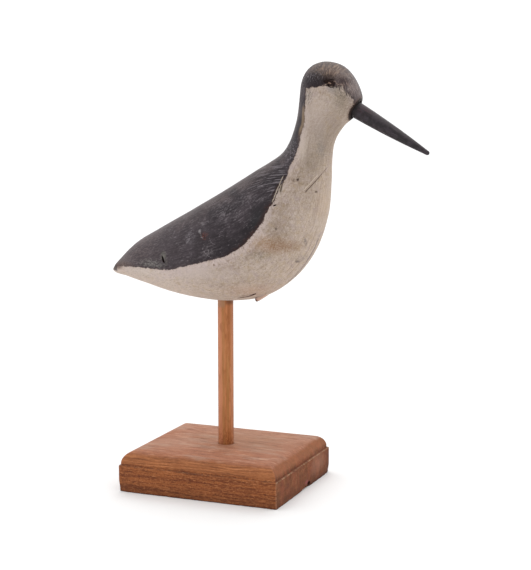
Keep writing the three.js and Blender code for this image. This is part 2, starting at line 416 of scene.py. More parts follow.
def buildCamera():
    camera = addObject("camera", bpy.data.cameras.new("camera"))
    across, down = math.radians(view["azimuth"]), math.radians(view["down"])
    forward = Vector((
        -math.sin(across) * math.cos(down),
        math.cos(across) * math.cos(down),
        -math.sin(down),
    ))
    camera.location = view["place"]
    camera.rotation_euler = forward.to_track_quat("-Z", "Y").to_euler()
    camera.data.sensor_width = view["sensor"]
    camera.data.lens = view["focalPixels"] * view["sensor"] / view["pictureHeight"]
    camera.data.clip_end = 50
    scene.camera = camera


buildCamera()
print("camera placed")


# Light and floor

studio = {
    "front": 0.35,  # how bright the room is on each side of the object
    "sides": 1.15,
    "behind": 1.9,
    "overhead": 1.3,
    "seen": 1.2,  # how bright it is where the camera sees it
    "key": {"place": (-0.2, 0.6, 1.1), "size": 0.7, "power": 1.8},
    "target": (0.02, 0.0, 0.12),
    "floorSize": 12.0,
    "floorTone": (0.89, 0.89, 0.89, 1.0),
}


def lamp(name, place, size, power):
    light = bpy.data.lights.new(name, "AREA")
    light.shape = "DISK"
    light.size = size
    light.energy = power
    thing = addObject(name, light)
    thing.location = place
    way = Vector(studio["target"]) - thing.location
    thing.rotation_euler = way.to_track_quat("-Z", "Y").to_euler()


def buildStudio():
    world = bpy.data.worlds.new("studio")
    world.use_nodes = True
    world.node_tree.nodes.clear()
    board = Board(world.node_tree)
    way = board.node("ShaderNodeTexCoord", output="Generated")
    azimuth = math.radians(view["azimuth"])
    front = way.dot((math.sin(azimuth), -math.cos(azimuth), 0))
    up = way.split()[2]
    strength = studio["sides"] + front.step(0.1, 0.95) * (studio["front"] - studio["sides"])
    strength = strength + front.step(-0.1, -0.95) * (studio["behind"] - studio["sides"])
    strength = strength + up.step(0.2, 0.9) * (studio["overhead"] - strength)
    seen = board.node("ShaderNodeLightPath", output="Is Camera Ray")
    strength = strength + seen * (studio["seen"] - strength)
    sky = {"Color": (1.0, 1.0, 1.0, 1.0), "Strength": strength}
    board.node("ShaderNodeOutputWorld", values={"Surface": board.node("ShaderNodeBackground", values=sky)})
    scene.world = world
    lamp("key", **studio["key"])
    scene.view_settings.view_transform = "Standard"
    scene.view_settings.look = "None"

    half = studio["floorSize"] / 2
    corners = [(-half, -half, 0), (half, -half, 0), (half, half, 0), (-half, half, 0)]
    mesh = bpy.data.meshes.new("floor")
    mesh.from_pydata(corners, [], [(0, 1, 2, 3)])
    floor = addObject("floor", mesh)
    paper, board = startFinish("floorPaper")
    surface = board.node("ShaderNodeBsdfDiffuse", values={"Color": studio["floorTone"]})
    board.node("ShaderNodeOutputMaterial", values={"Surface": surface})
    mesh.materials.append(paper)


buildStudio()
print("studio lit")


# The painted bird

bird = {
    "length": 158.0,  # from the tail tip to the forehead
    "bellyHeight": 112.5,  # of the place where the stick goes in
    "rings": 290,
    "pointsPerRing": 300,
    "grainRadius": 25.0,  # the brush marks are laid round a rod of this radius
    "toolMarks": 0.16,
    "paintThickness": 0.16,
    "lipHeight": 0.22,
    # back x and z, belly x and z, half width, in hundredths of the length; then how far up
    # the section its widest place is, and how square the section is
    "sections": [
        (-47.8, 9.1, -47.8, 9.1, 0, 0.5, 1.8),
        (-43.1, 15, -40.4, 7, 5.4, 0.42, 1.85),
        (-36.4, 21, -32.6, 5.1, 9, 0.4, 1.9),
        (-27.4, 26.3, -22.6, 2.7, 12.4, 0.4, 2),
        (-17, 32.1, -10.8, 0.8, 15.2, 0.42, 2.05),
        (-6, 38.3, 2.6, 0.3, 16.8, 0.44, 2.1),
        (4.8, 44.7, 16.4, 2.7, 17, 0.45, 2.1),
        (13.7, 50.2, 27.9, 10.2, 16, 0.46, 2.1),
        (20.3, 54.2, 35.9, 20.6, 14.2, 0.48, 2.1),
        (24.4, 57.3, 40.6, 33.6, 12, 0.5, 2.05),
        (27, 61.3, 41.9, 45.2, 10.2, 0.5, 2),
        (28.7, 65.7, 42.2, 54.4, 8.9, 0.5, 2),
        (29.9, 70.2, 43.4, 61.2, 8.3, 0.5, 2),
        (30.5, 75, 46.8, 66.8, 8.5, 0.5, 2),
        (30.9, 79.2, 51.2, 70.9, 9.3, 0.5, 2.05),
        (31.6, 83.4, 53.6, 76.8, 9.7, 0.5, 2.1),
        (33.6, 87.2, 51.5, 83.1, 8.6, 0.5, 2.1),
        (37, 89.6, 47.5, 88, 5.4, 0.5, 2),
        (42, 90.3, 42, 90.3, 0, 0.5, 2),
    ],
    # where the dark paint of the back ends, seen from the side: x and z in millimetres,
    # from the tail tip up the neck and along the cap to the bill
    "paintLine": [
        (-90, 129.3), (-71, 129.9), (-64.8, 130.4), (-57, 130.9), (-49.3, 131.6), (-41.1, 131.5),
        (-32.9, 131.7), (-25.7, 132.4), (-18.7, 134.9), (-8.1, 137.6), (3.0, 140.6), (9.7, 142.8),
        (15.2, 145.0), (23.1, 150.4), (28.8, 157.1), (33.4, 162.8), (36.8, 171.1), (40.1, 177.5),
        (42.3, 184.7), (45.6, 189.3), (47.2, 194.9), (49.8, 199.3), (50.7, 202.1), (52.2, 208.2),
        (53.5, 215.7), (54.9, 219.5), (55.1, 224.3), (55.2, 230.2), (55.9, 235.9), (55.9, 239.1),
        (57.0, 240.5), (62.0, 241.1), (65.9, 241.7), (68.9, 241.9), (74.4, 242.2), (78.1, 241.9),
        (80.1, 240.1), (81.9, 237.3), (83.3, 234.1), (84.5, 231.0), (110, 226.0),
    ],
    # small hollows: name, centre, reach, turn about the Y axis in degrees, and seed
    "pits": [
        ("nail_hole", (-30.9, -21.3, 138.3), (0.75, 2.4, 2.5), -26, 51),
        ("gouge", (41.0, -23.2, 173.7), (1.5, 1.3, 0.55), -18, 52),
        ("eye_hollow_right", (70.4, -14.4, 244.6), (3.3, 1.0, 2.0), -12, 53),
        ("eye_hollow_left", (70.4, 14.4, 244.6), (3.3, 1.0, 2.0), -12, 54),
    ],
}
bird["top"] = len(bird["sections"]) - 1


def throughPoints(points, share, closed=False):
    # the smooth curve through the points, at shares of the way from the first to the last
    points = np.asarray(points, float)
    count = len(points)
    place = np.asarray(share, float) * (count if closed else count - 1)
    first = np.floor(place).astype(int)
    if closed:
        before, a, b, after = (points[(first + k) % count] for k in (-1, 0, 1, 2))
    else:
        first = np.minimum(first, count - 2)
        longer = np.vstack([2 * points[0] - points[1], points, 2 * points[-1] - points[-2]])
        before, a, b, after = (longer[first + k] for k in range(4))
    w = (place - first)[:, None]
    leave, arrive = (b - before) / 2, (after - a) / 2
    cubic = (2 * a - 2 * b + leave + arrive) * w**3
    return cubic + (3 * b - 3 * a - 2 * leave - arrive) * w**2 + leave * w + a


def onBird(x, z, y=0.0):
    hundredth = bird["length"] / 100
    return np.array((x * hundredth, y, bird["bellyHeight"] + z * hundredth))


def skinAt(places, turns):
    # points of the skin at places counted in sections from the tail tip, and turns in
    # degrees: 0 is the left side, 90 the back, 180 the right side and 270 the belly
    rows = np.array(bird["sections"], float)
    top = bird["top"]
    upper = rows[:, [0, 4, 1]]
    lower = rows[top - 1:0:-1, [2, 4, 3]] * (1, -1, 1)
    loop = np.vstack([upper, lower])
    places, turns = np.broadcast_arrays(np.asarray(places, float), np.radians(turns))
    flat = places.ravel()
    back = throughPoints(loop, flat / (2 * top), closed=True)
    belly = throughPoints(loop, 1 - flat / (2 * top), closed=True)
    widest, full = throughPoints(rows[:, 5:7], flat / top).T
    half = (back[:, 1] - belly[:, 1]) / 2
    angle = turns.ravel()
    height = np.sign(np.sin(angle)) * np.abs(np.sin(angle)) ** (2 / full)
    side = np.sign(np.cos(angle)) * np.abs(np.cos(angle)) ** (2 / full)
    share = widest + height * np.where(height > 0, 1 - widest, widest)
    points = belly + (back - belly) * share[:, None]
    points[:, 1] = half * side
    points *= bird["length"] / 100
    points[:, 2] += bird["bellyHeight"]
    return points.reshape(places.shape + (3,))


def evenPlaces(count):
    # places of rings that are equally far apart, on the average round them
    fine = np.linspace(0, bird["top"], 3001)
    turns = np.arange(0, 360, 30)
    points = skinAt(fine[:, None], turns[None, :])
    moved = np.linalg.norm(np.diff(points, axis=0), axis=2).mean(axis=1)
    travelled = np.concatenate([[0], np.cumsum(moved)])
    along = np.linspace(0, travelled[-1], count + 2)[1:-1]
    return np.interp(along, travelled, fine), along


def paintDistance(x, z):
    # millimetres from the edge of the dark paint, seen from the side, and more than 0 in it
    line = np.array(bird["paintLine"], float)
    fine = throughPoints(line, np.linspace(0, 1, 8 * len(line)))
    nearest = np.full(x.shape, np.inf)
    for (x0, z0), (x1, z1) in zip(fine[:-1], fine[1:]):
        dx, dz = x1 - x0, z1 - z0
        share = np.clip(((x - x0) * dx + (z - z0) * dz) / (dx * dx + dz * dz), 0, 1)
        nearest = np.minimum(nearest, np.hypot(x - x0 - share * dx, z - z0 - share * dz))
    away, above = 200, 400  # clear of the bird
    around = np.vstack([fine, [(away, line[-1, 1]), (away, above), (-away, above), (-away, line[0, 1])]])
    inside = np.zeros(x.shape, bool)
    for (x0, z0), (x1, z1) in zip(around, np.roll(around, -1, axis=0)):
        if z0 != z1:
            crosses = (z0 > z) != (z1 > z)
            inside ^= crosses & (x < x0 + (z - z0) * (x1 - x0) / (z1 - z0))
    return np.where(inside, nearest, -nearest)


def grainOn(along, turns):
    radius = bird["grainRadius"]
    angle = np.radians(turns)
    along, angle = np.broadcast_arrays(along, angle)
    return np.stack([along, radius * np.cos(angle), radius * np.sin(angle)], axis=-1)


def birdSkin():
    places, along = evenPlaces(bird["rings"])
    turns = np.arange(bird["pointsPerRing"]) * 360 / bird["pointsPerRing"]
    points = skinAt(places[:, None], turns[None, :])
    grain = grainOn(along[:, None], turns[None, :])
    wayAlong = np.gradient(points, axis=0)
    wayRound = np.roll(points, -1, axis=1) - np.roll(points, 1, axis=1)
    out = np.cross(wayRound, wayAlong)
    out /= np.linalg.norm(out, axis=2)[:, :, None]
    if out[bird["rings"] // 2, 0, 1] < 0:
        out = -out
    flat, flatOut, flatGrain = (a.reshape(-1, 3) for a in (points, out, grain))

    # the knife's broad flats, strokes along the grain, and a fine roughness
    marks = softNoise(flat, 11, 1) * 0.6 + softNoise(flatGrain * (0.25, 1, 1), 5, 2) * 0.5
    marks += softNoise(flat, 3.2, 3) * 0.14
    edge = paintDistance(flat[:, 0], flat[:, 2])
    edge = edge + softNoise(flat, 2.4, 4) * 0.5
    paint = smooth(edge, -0.3, 0.5) * bird["paintThickness"]
    lip = np.exp(-((edge - 0.2) / 0.7) ** 2) * bird["lipHeight"] * smooth(flat[:, 0], -30, 0)
    lip *= 0.35 + 0.65 * smooth(softNoise(flat, 6, 5), -0.2, 0.4)
    end = smooth(np.minimum(along, along[-1] - along), 0, 6).repeat(bird["pointsPerRing"])
    moved = flat + flatOut * ((marks * bird["toolMarks"] + paint + lip) * end)[:, None]
    rings = moved.reshape(points.shape)
    tail, crown = skinAt(np.array([0.0, bird["top"]]), 90)
    body = skinOver("painted_bird", list(rings), tail, crown)
    return body, moved, flatOut, flatGrain


def barOnSkin(name, start, end, steps, size, seed):
    # a bar laid along the skin between two (place, turn); size gives at a share of the way
    # its lower and upper half widths, and its lower and upper face measured out of the skin
    share = np.linspace(0, 1, steps + 1)
    places = start[0] + (end[0] - start[0]) * share
    turns = start[1] + (end[1] - start[1]) * share
    points = skinAt(places, turns)
    along = np.gradient(points, axis=0)
    along /= np.linalg.norm(along, axis=1)[:, None]
    out = np.cross(skinAt(places, turns + 1) - points, along)
    out /= np.linalg.norm(out, axis=1)[:, None]
    middle = (skinAt(places, 90) + skinAt(places, 270)) / 2
    out *= np.sign(((points - middle) * out).sum(axis=1))[:, None]
    across = np.cross(out, along)
    rings = []
    for i, s in enumerate(share):
        halfLow, halfHigh, low, high = size(s)
        corners = np.array([(-halfLow, low), (halfLow, low), (halfHigh, high), (-halfHigh, high)])
        rings.append([points[i] + a * across[i] + o * out[i] for a, o in fourSided(corners)])
    rings = np.array(rings)
    moved = wobble(rings.reshape(-1, 3), 1.4, seed).reshape(rings.shape) * 0.12
    rings += moved * (share > 0)[:, None, None]
    return skinOver(name, list(rings), rings[0].mean(axis=0), rings[-1].mean(axis=0))


split = {"from": (5.2, 238), "to": (6.06, 243), "depth": 3.2, "opening": 1.5}
splinter = {
    "root": (6.45, 259),
    "end": (5.84, 257),
    "width": 5.0,
    "endWidth": 3.2,
    "thickness": 1.5,
    "sink": 0.9,
    "lift": 2.3,
}
bill = {
    "root": (52.2, 73.0),
    "droop": 29.0,
    "diameter": 9.6,
    "tip": 2.6,
    "showing": 49.5,
    "inHead": 12.0,
    "swell": 0.52,
    "mouthGap": 0.8,
    "mouthDepth": 4.0,
    "facets": 0.1,
}
eye = {
    "place": (45.4, 82.7),
    "side": 14.06,
    "diameter": 4.0,
    "dome": 0.7,
    "shank": 1.4,
    "shankLength": 5.0,
    "hole": 0.9,
}
stick = {
    "diameter": 9.5,
    "foot": 6.0,
    "mouth": 24.1,
    "top": 138.5,
    "inBelly": 26.0,
    "roomInBlock": 0.15,
    "bevel": 0.6,
}
gap = 0.3  # round whatever sits in a hole


def splitCutter():
    hair = 0.05

    def size(share):
        half = hair + split["opening"] / 2 * share
        return hair, half, -hair - split["depth"] * math.sin(math.pi * share), split["opening"]

    return barOnSkin("split", split["from"], split["to"], 24, size, 20)


def splinterBar():
    def size(share):
        above = splinter["lift"] * share - splinter["sink"] * (1 - share)
        half = (splinter["width"] + (splinter["endWidth"] - splinter["width"]) * share) / 2
        return half, 0.8 * half, above - splinter["thickness"], above

    return barOnSkin("splinter", splinter["root"], splinter["end"], 18, size, 30)


def billWay():
    droop = math.radians(bill["droop"])
    return np.array((math.cos(droop), 0, -math.sin(droop)))


def billSocket():
    hole = bill["diameter"] / 2 + gap
    mouth = bill["diameter"] / 2 + bill["mouthGap"]
    deep = bill["mouthDepth"]
    profile = [
        (-bill["inHead"] - gap, 0),
        (-bill["inHead"] - gap, hole),
        (-deep, hole),
        (-deep + bill["mouthGap"], mouth),
        (2 * bill["diameter"], mouth),
        (2 * bill["diameter"], 0),
    ]
    return turned("bill_socket", profile, onBird(*bill["root"]), billWay(), 96)


def stickHole(mouth, bottom, way, room):
    hole = stick["diameter"] / 2 + room
    length = abs(bottom - mouth) + gap
    profile = [(-stick["diameter"], 0), (-stick["diameter"], hole), (length, hole), (length, 0)]
    return turned("stick_hole", profile, np.array((0, 0, mouth)), (0, 0, way), 96)


def eyeSocket(side):
    ring = eye["diameter"] / 2 + gap
    shank = eye["shank"] / 2 + gap
    profile = [
        (-eye["shankLength"] - gap, 0),
        (-eye["shankLength"] - gap, shank),
        (-eye["hole"], shank),
        (-eye["hole"], ring),
        (eye["diameter"], ring + gap),
        (eye["diameter"], 0),
    ]
    start = onBird(*eye["place"], side * eye["side"])
    return turned("eye_socket", profile, start, (0, side, 0), 48)


def pit(name, centre, reach, turn, seed):
    # an egg-shaped cutter with a rough skin; turn is about the Y axis, in degrees
    sides, rows = 36, 18
    polar = np.linspace(0, math.pi, rows + 2)[1:-1]
    around = np.linspace(0, 2 * math.pi, sides, endpoint=False)
    ball = np.stack(
        [
            np.outer(np.sin(polar), np.cos(around)),
            np.outer(np.cos(polar), np.ones(sides)),
            np.outer(np.sin(polar), np.sin(around)),
        ],
        axis=-1,
    ).reshape(-1, 3)
    ball *= 1 + 0.12 * softNoise(ball, 0.5, seed)[:, None]
    local = ball * reach
    angle = math.radians(turn)
    turnedX = local[:, 0] * math.cos(angle) + local[:, 2] * math.sin(angle)
    turnedZ = local[:, 2] * math.cos(angle) - local[:, 0] * math.sin(angle)
    points = np.stack([turnedX, local[:, 1], turnedZ], axis=1) + centre
    rings = list(points.reshape(rows, sides, 3))
    ends = [np.array(centre) + (0, side * reach[1], 0) for side in (1, -1)]
    return skinOver(name, rings, *ends)


def addAttribute(mesh, name, kind, values):
    data = mesh.attributes.new(name, kind, "POINT").data
    data.foreach_set("vector" if kind == "FLOAT_VECTOR" else "value", np.asarray(values, np.float32).ravel())


def buildBird():
    body, skin, out, grain = birdSkin()
    cuts = [
        splitCutter(),
        billSocket(),
        stickHole(bird["bellyHeight"], bird["bellyHeight"] + stick["inBelly"], 1, gap),
        eyeSocket(1),
        eyeSocket(-1),
        *(pit(*row) for row in bird["pits"]),
    ]
    shape(body, cuts, [splinterBar()])
    mesh = body.data
    count = len(mesh.vertices)
    points = np.empty(count * 3)
    mesh.vertices.foreach_get("co", points)
    points = points.reshape(-1, 3) / mm

    tree = kdtree.KDTree(len(skin))
    for i, p in enumerate(skin):
        tree.insert(p, i)
    tree.balance()
    nearest = np.array([tree.find(p)[1] for p in points])
    depth = ((points - skin[nearest]) * out[nearest]).sum(axis=1)
    addAttribute(mesh, "depth", "FLOAT", depth)
    addAttribute(mesh, "grain", "FLOAT_VECTOR", grain[nearest])
    addAttribute(mesh, "paintEdge", "FLOAT", paintDistance(points[:, 0], points[:, 2]))
    return body


# marks: place in millimetres, reach, softness, colour, strength, and how broken up it is
backMarks = [
    ((-6.2, -23.1, 156.6), (0.8, 6, 1), 0.7, (166, 160, 162), 0.7, 0.4),
    ((-2.4, -24.6, 154.2), (2.3, 6, 2), 0.7, (112, 62, 54), 0.75, 0.9),
    ((0.4, -26, 144.6), (4.5, 7, 4), 0.8, (124, 116, 118), 0.32, 1),
    ((-12.2, -22.4, 152.6), (3.4, 6, 3.2), 0.8, (126, 119, 124), 0.6, 0.9),
    ((-4.8, -21.5, 160.8), (0.8, 6, 0.9), 0.6, (150, 144, 146), 0.7, 0.6),
    ((9, -20.4, 169), (9, 9, 6), 0.9, (128, 120, 124), 0.42, 1),
    ((24, -20, 176.5), (7, 9, 3), 0.9, (124, 116, 120), 0.5, 1),
    ((-39.6, -19.3, 134.9), (8, 8, 2.2), 0.8, (142, 141, 134), 0.7, 0.9),
    ((-30.9, -21.3, 140.6), (1.9, 6, 2.2), 0.6, (122, 120, 110), 0.7, 0.4),
    ((-28.6, -21.8, 137.2), (1.3, 6, 2), 0.6, (104, 98, 92), 0.5, 0.5),
    ((-65, -9, 132), (9, 9, 2), 0.8, (122, 99, 86), 0.8, 0.7),
    ((-55, -14, 142), (15, 14, 8), 0.9, (124, 108, 106), 0.4, 0.9),
    ((31, -21, 164.5), (4.5, 7, 6), 0.9, (40, 43, 44), 0.7, 0.2),
    ((50, -12, 213), (5, 9, 11), 0.9, (40, 37, 39), 0.6, 0.3),
    ((47, -15, 204.5), (3, 8, 3), 0.9, (96, 88, 86), 0.5, 0.8),
    ((84, -3.2, 238.5), (3.2, 6, 7), 0.8, (166, 148, 144), 0.6, 0.6),
    ((52.7, -12.5, 213.5), (1.5, 6, 4.5), 0.7, (94, 74, 62), 0.7, 0.3),
    ((-62, -7, 135.5), (7, 9, 3.5), 0.8, (124, 110, 108), 0.4, 0.4),
    ((70.5, -13, 248.4), (4.8, 7, 2.2), 0.8, (100, 70, 58), 0.55, 0.5),
]
frontMarks = [
    ((60.5, -13.5, 221), (5.5, 9, 14), 0.9, (208, 191, 182), 0.68, 0),
    ((-5, -25.9, 132.4), (20, 6, 4), 0.9, (206, 190, 182), 0.5, 0),
    ((71, -7, 217), (6.5, 10, 17), 0.9, (128, 112, 98), 0.42, 0),
    ((38, -24, 151), (10, 12, 4.6), 0.9, (172, 130, 96), 0.55, 0.6),
    ((43.4, -22.5, 150), (6.5, 12, 3), 0.9, (140, 98, 58), 0.65, 0.6),
    ((51, -17, 149.6), (3.6, 9, 2.8), 0.8, (148, 116, 84), 0.45, 0.5),
    ((33, -24.7, 144.8), (5, 9, 2.6), 0.9, (126, 118, 98), 0.5, 0.7),
    ((24, -14, 122), (13, 10, 4), 0.9, (190, 150, 126), 0.4, 0.4),
    ((43, -22.6, 162.5), (5.5, 9, 11), 0.9, (140, 122, 105), 0.5, 0.5),
    ((43.9, -20.6, 183), (0.8, 6, 2.4), 0.6, (98, 90, 62), 0.8, 0.2),
    ((59, -14.5, 205), (5, 8, 24), 0.9, (144, 127, 108), 0.55, 0.4),
    ((64.2, -9.4, 205.2), (1.6, 8, 3.4), 0.8, (136, 134, 132), 0.5, 0.6),
    ((53.2, -17.8, 188.4), (0.75, 5, 0.8), 0.5, (74, 58, 50), 0.95, 0),
    ((50.9, -18.5, 188), (0.6, 5, 0.8), 0.8, (120, 102, 90), 0.7, 0),
    ((52.6, -17.9, 186.6), (0.7, 5, 0.5), 0.7, (205, 186, 170), 0.6, 0),
    ((62.3, -12, 181.3), (0.6, 5, 0.6), 0.6, (100, 84, 70), 0.9, 0),
    ((56.2, -12.9, 152.4), (0.5, 6, 2.9), 0.6, (112, 104, 106), 0.6, 0.5),
    ((50.7, -10.6, 140.1), (0.9, 6, 0.8), 0.6, (92, 78, 74), 0.8, 0.3),
    ((52.6, -9, 142), (3.6, 7, 2), 0.8, (138, 128, 122), 0.55, 0.9),
    ((4.4, -26.6, 137.7), (0.5, 5, 0.6), 0.6, (120, 96, 74), 0.8, 0),
    ((42.2, -23.6, 160.2), (0.7, 5, 0.6), 0.6, (92, 78, 70), 0.7, 0),
    ((-66.5, -8, 129), (5.5, 9, 1.4), 0.8, (202, 176, 164), 0.5, 0.5),
    ((72.6, -14, 240.4), (2.2, 6, 2), 0.9, (136, 134, 136), 0.6, 0.3),
    ((77.8, -11.6, 238), (4.6, 7, 5), 0.9, (122, 116, 102), 0.6, 0.6),
    ((79.4, -9.6, 232), (3.6, 7, 6.5), 0.9, (120, 104, 90), 0.6, 0.5),
    ((76, -12.6, 233), (3, 7, 7), 0.9, (144, 132, 116), 0.5, 0.5),
    ((57.4, -13.5, 237), (2.2, 5, 4), 0.8, (138, 134, 126), 0.6, 0.8),
    ((68.4, -14.5, 230.5), (5, 8, 5), 0.9, (212, 196, 184), 0.3, 0.2),
    ((64.4, -9.9, 211), (3, 8, 7), 0.9, (134, 122, 110), 0.4, 0.3),
    ((61.2, -12.6, 199), (6, 8, 5), 0.9, (132, 118, 102), 0.35, 0.3),
    ((61.9, -7.3, 161.6), (3.5, 8, 5), 0.9, (206, 190, 174), 0.3, 0.2),
    ((64.9, -4.1, 172.5), (3, 8, 7), 0.9, (212, 188, 166), 0.35, 0.2),
    ((54.6, -14.3, 206.8), (2.6, 7, 7), 0.8, (214, 198, 186), 0.55, 0),
]


# scratches on the right wing: x and z of their points, half width, strength and colour
wingScratches = [
    ([(-5.4, 155.2), (-4.6, 153.6), (-3.4, 152.8)], 0.5, 0.6, (150, 142, 144)),
    ([(-4.2, 154.8), (-2.6, 154.4), (-2, 153)], 0.5, 0.7, (30, 22, 24)),
    ([(1.2, 153), (2.6, 150.6), (5.4, 149.6)], 0.45, 0.5, (118, 110, 114)),
    ([(-13.6, 154.4), (-12.6, 151.4), (-14.4, 149.4)], 0.6, 0.6, (132, 126, 130)),
    ([(-3, 147), (-1, 144), (2.6, 142)], 0.4, 0.6, (134, 126, 128)),
    ([(0.6, 146.6), (1.6, 143.4)], 0.4, 0.5, (128, 120, 122)),
    ([(-9, 161.6), (-5.2, 161), (-1, 162.8)], 0.4, 0.4, (126, 118, 122)),
]


def addMarks(colour, place, marks, rough, grit):
    for centre, reach, soft, shade, strength, broken in marks:
        mask = place.spot(centre, reach, soft, rough * 1.2)
        if broken:
            mask = mask * (grit.step(0.44, 0.6) * broken + (1 - broken))
        colour.lay(mask * strength, *shade)


def polar(x, z):
    # the distance from the middle and the angle round it, seen from the side
    return (x * x + z * z).maths("SQRT"), z.maths("ARCTAN2", x)


def backPaint(board, place, grain, edge, rough):
    # the worn black of the back, wings and cap
    x, y, z = place.split()
    upness = grain.split()[2] / bird["grainRadius"]
    clouds = place.noise(0.11, 4, 0.6)
    drift = clouds - 0.5
    colour = board.blend(clouds.step(0.35, 0.68), tone(50, 43, 47), tone(79, 70, 75))
    # painted light: the top of the back, which faces up, is made lighter and browner
    brown = (upness + drift * 0.8).step(0.6, 1.02) * 0.75
    colour.lay(brown, 100, 86, 84)
    tail = (x + drift * 50).step(10, -50) * 0.5
    colour.lay(tail, 96, 84, 87)
    deep = edge.step(11, 1) * x.step(-14, 12) * z.step(190, 170) * 0.8
    colour.lay(deep, 36, 30, 34)
    worn = place.noise(0.16, 2).step(0.4, 0.62)
    strokes = grain.noise((0.06, 1.5, 1.5), 3, 0.68)
    scratches = grain.noise((0.22, 2.0, 2.0), 2, 0.6)
    colour.lay(strokes.step(0.53, 0.7) * (worn * 0.45 + 0.15), 124, 115, 119)
    colour.lay(strokes.step(0.47, 0.32) * 0.5, 32, 26, 30)
    high = (upness + drift).step(-0.1, 0.5) * 0.6 + 0.4
    colour.lay(scratches.step(0.58, 0.72) * (worn * 0.4 + 0.1) * high, 142, 134, 138)
    grit = grain.noise((0.5, 1.3, 1.3), 3, 0.7)
    colour.lay(grit.step(0.6, 0.44) * 0.3, 40, 34, 38)
    colour.lay(grit.step(0.56, 0.68) * (worn * 0.35 + 0.15), 134, 126, 130)
    addMarks(colour, place, backMarks, rough, grit)

    hatch = place.spot((47, -12.5, 204), (6, 9, 7.5), 0.7, rough * 1.2)
    nicks = board.join(x * 1.2 - z * 0.5, y * 0.5, z * 0.8 + x * 0.5).noise(1.0, 2, 0.7)
    colour.flecks(nicks, (0.53, 0.63, 0.7, 140, 132, 138), (0.46, 0.36, 0.6, 34, 28, 32), where=hatch)

    # the crown is worn through in streaks that fan out from the eye
    away, angle = polar(x - 71, z - 243.5)
    fan = board.join(angle * 9, away * 0.3, 3).noise(1.0, 4, 0.75, 0.6).step(0.44, 0.6)
    crown = place.spot((70.5, -10, 251), (9.5, 10, 5), 0.9, rough * 1.6)
    speckle = grit.step(0.62, 0.44) * 0.5 + 0.5
    colour.lay(crown * (fan * 0.7 + 0.22) * speckle, 176, 152, 132)
    upright = place.noise((1.5, 1.5, 0.22), 3, 0.6)
    forehead = place.spot((79.5, -6, 244), (6, 10, 6.5), 0.8, rough * 1.2)
    colour.lay(forehead * (upright.step(0.42, 0.62) * 0.6 + 0.2), 152, 134, 128)
    colour.flecks(grit, (0.5, 0.62, 0.5, 188, 178, 172), (0.48, 0.38, 0.5, 84, 72, 74), where=forehead)
    ahead = place.spot((77.8, -10.6, 244.2), (3.8, 6, 2.8), 0.7, rough * 1.4)
    colour.lay(ahead * 0.85, 62, 46, 47)
    low = place.spot((61.5, -13.5, 244.2), (8.5, 9, 5.4), 0.55, rough * 1.2)
    colour.lay(low * 0.85, 30, 22, 27)
    specks = place.spot((61, -12.5, 247.4), (6.5, 8, 3.4), 0.7, rough * 1.2)
    colour.lay(specks * grit.step(0.52, 0.64) * 0.6, 150, 142, 146)
    flat = board.join(x, 0.0, z)
    near = y.step(-14, -17)
    for points, width, strength, shade in wingScratches:
        scratch = flat.curve(points, width, rough * 0.8) * grit.step(0.42, 0.5)
        colour.lay(scratch * near * strength, *shade)
    # painted shade: the eye hollows on both sides are darkened
    mirrored = board.join(x, abs(y) * -1, z)
    socket = mirrored.spot((70, -13.5, 245.2), (3.8, 6, 3), 0.5, rough * 1.6)
    colour.lay(socket * (grit.step(0.6, 0.42) * 0.4 + 0.42), 36, 19, 16)
    return colour, strokes + scratches * 0.6


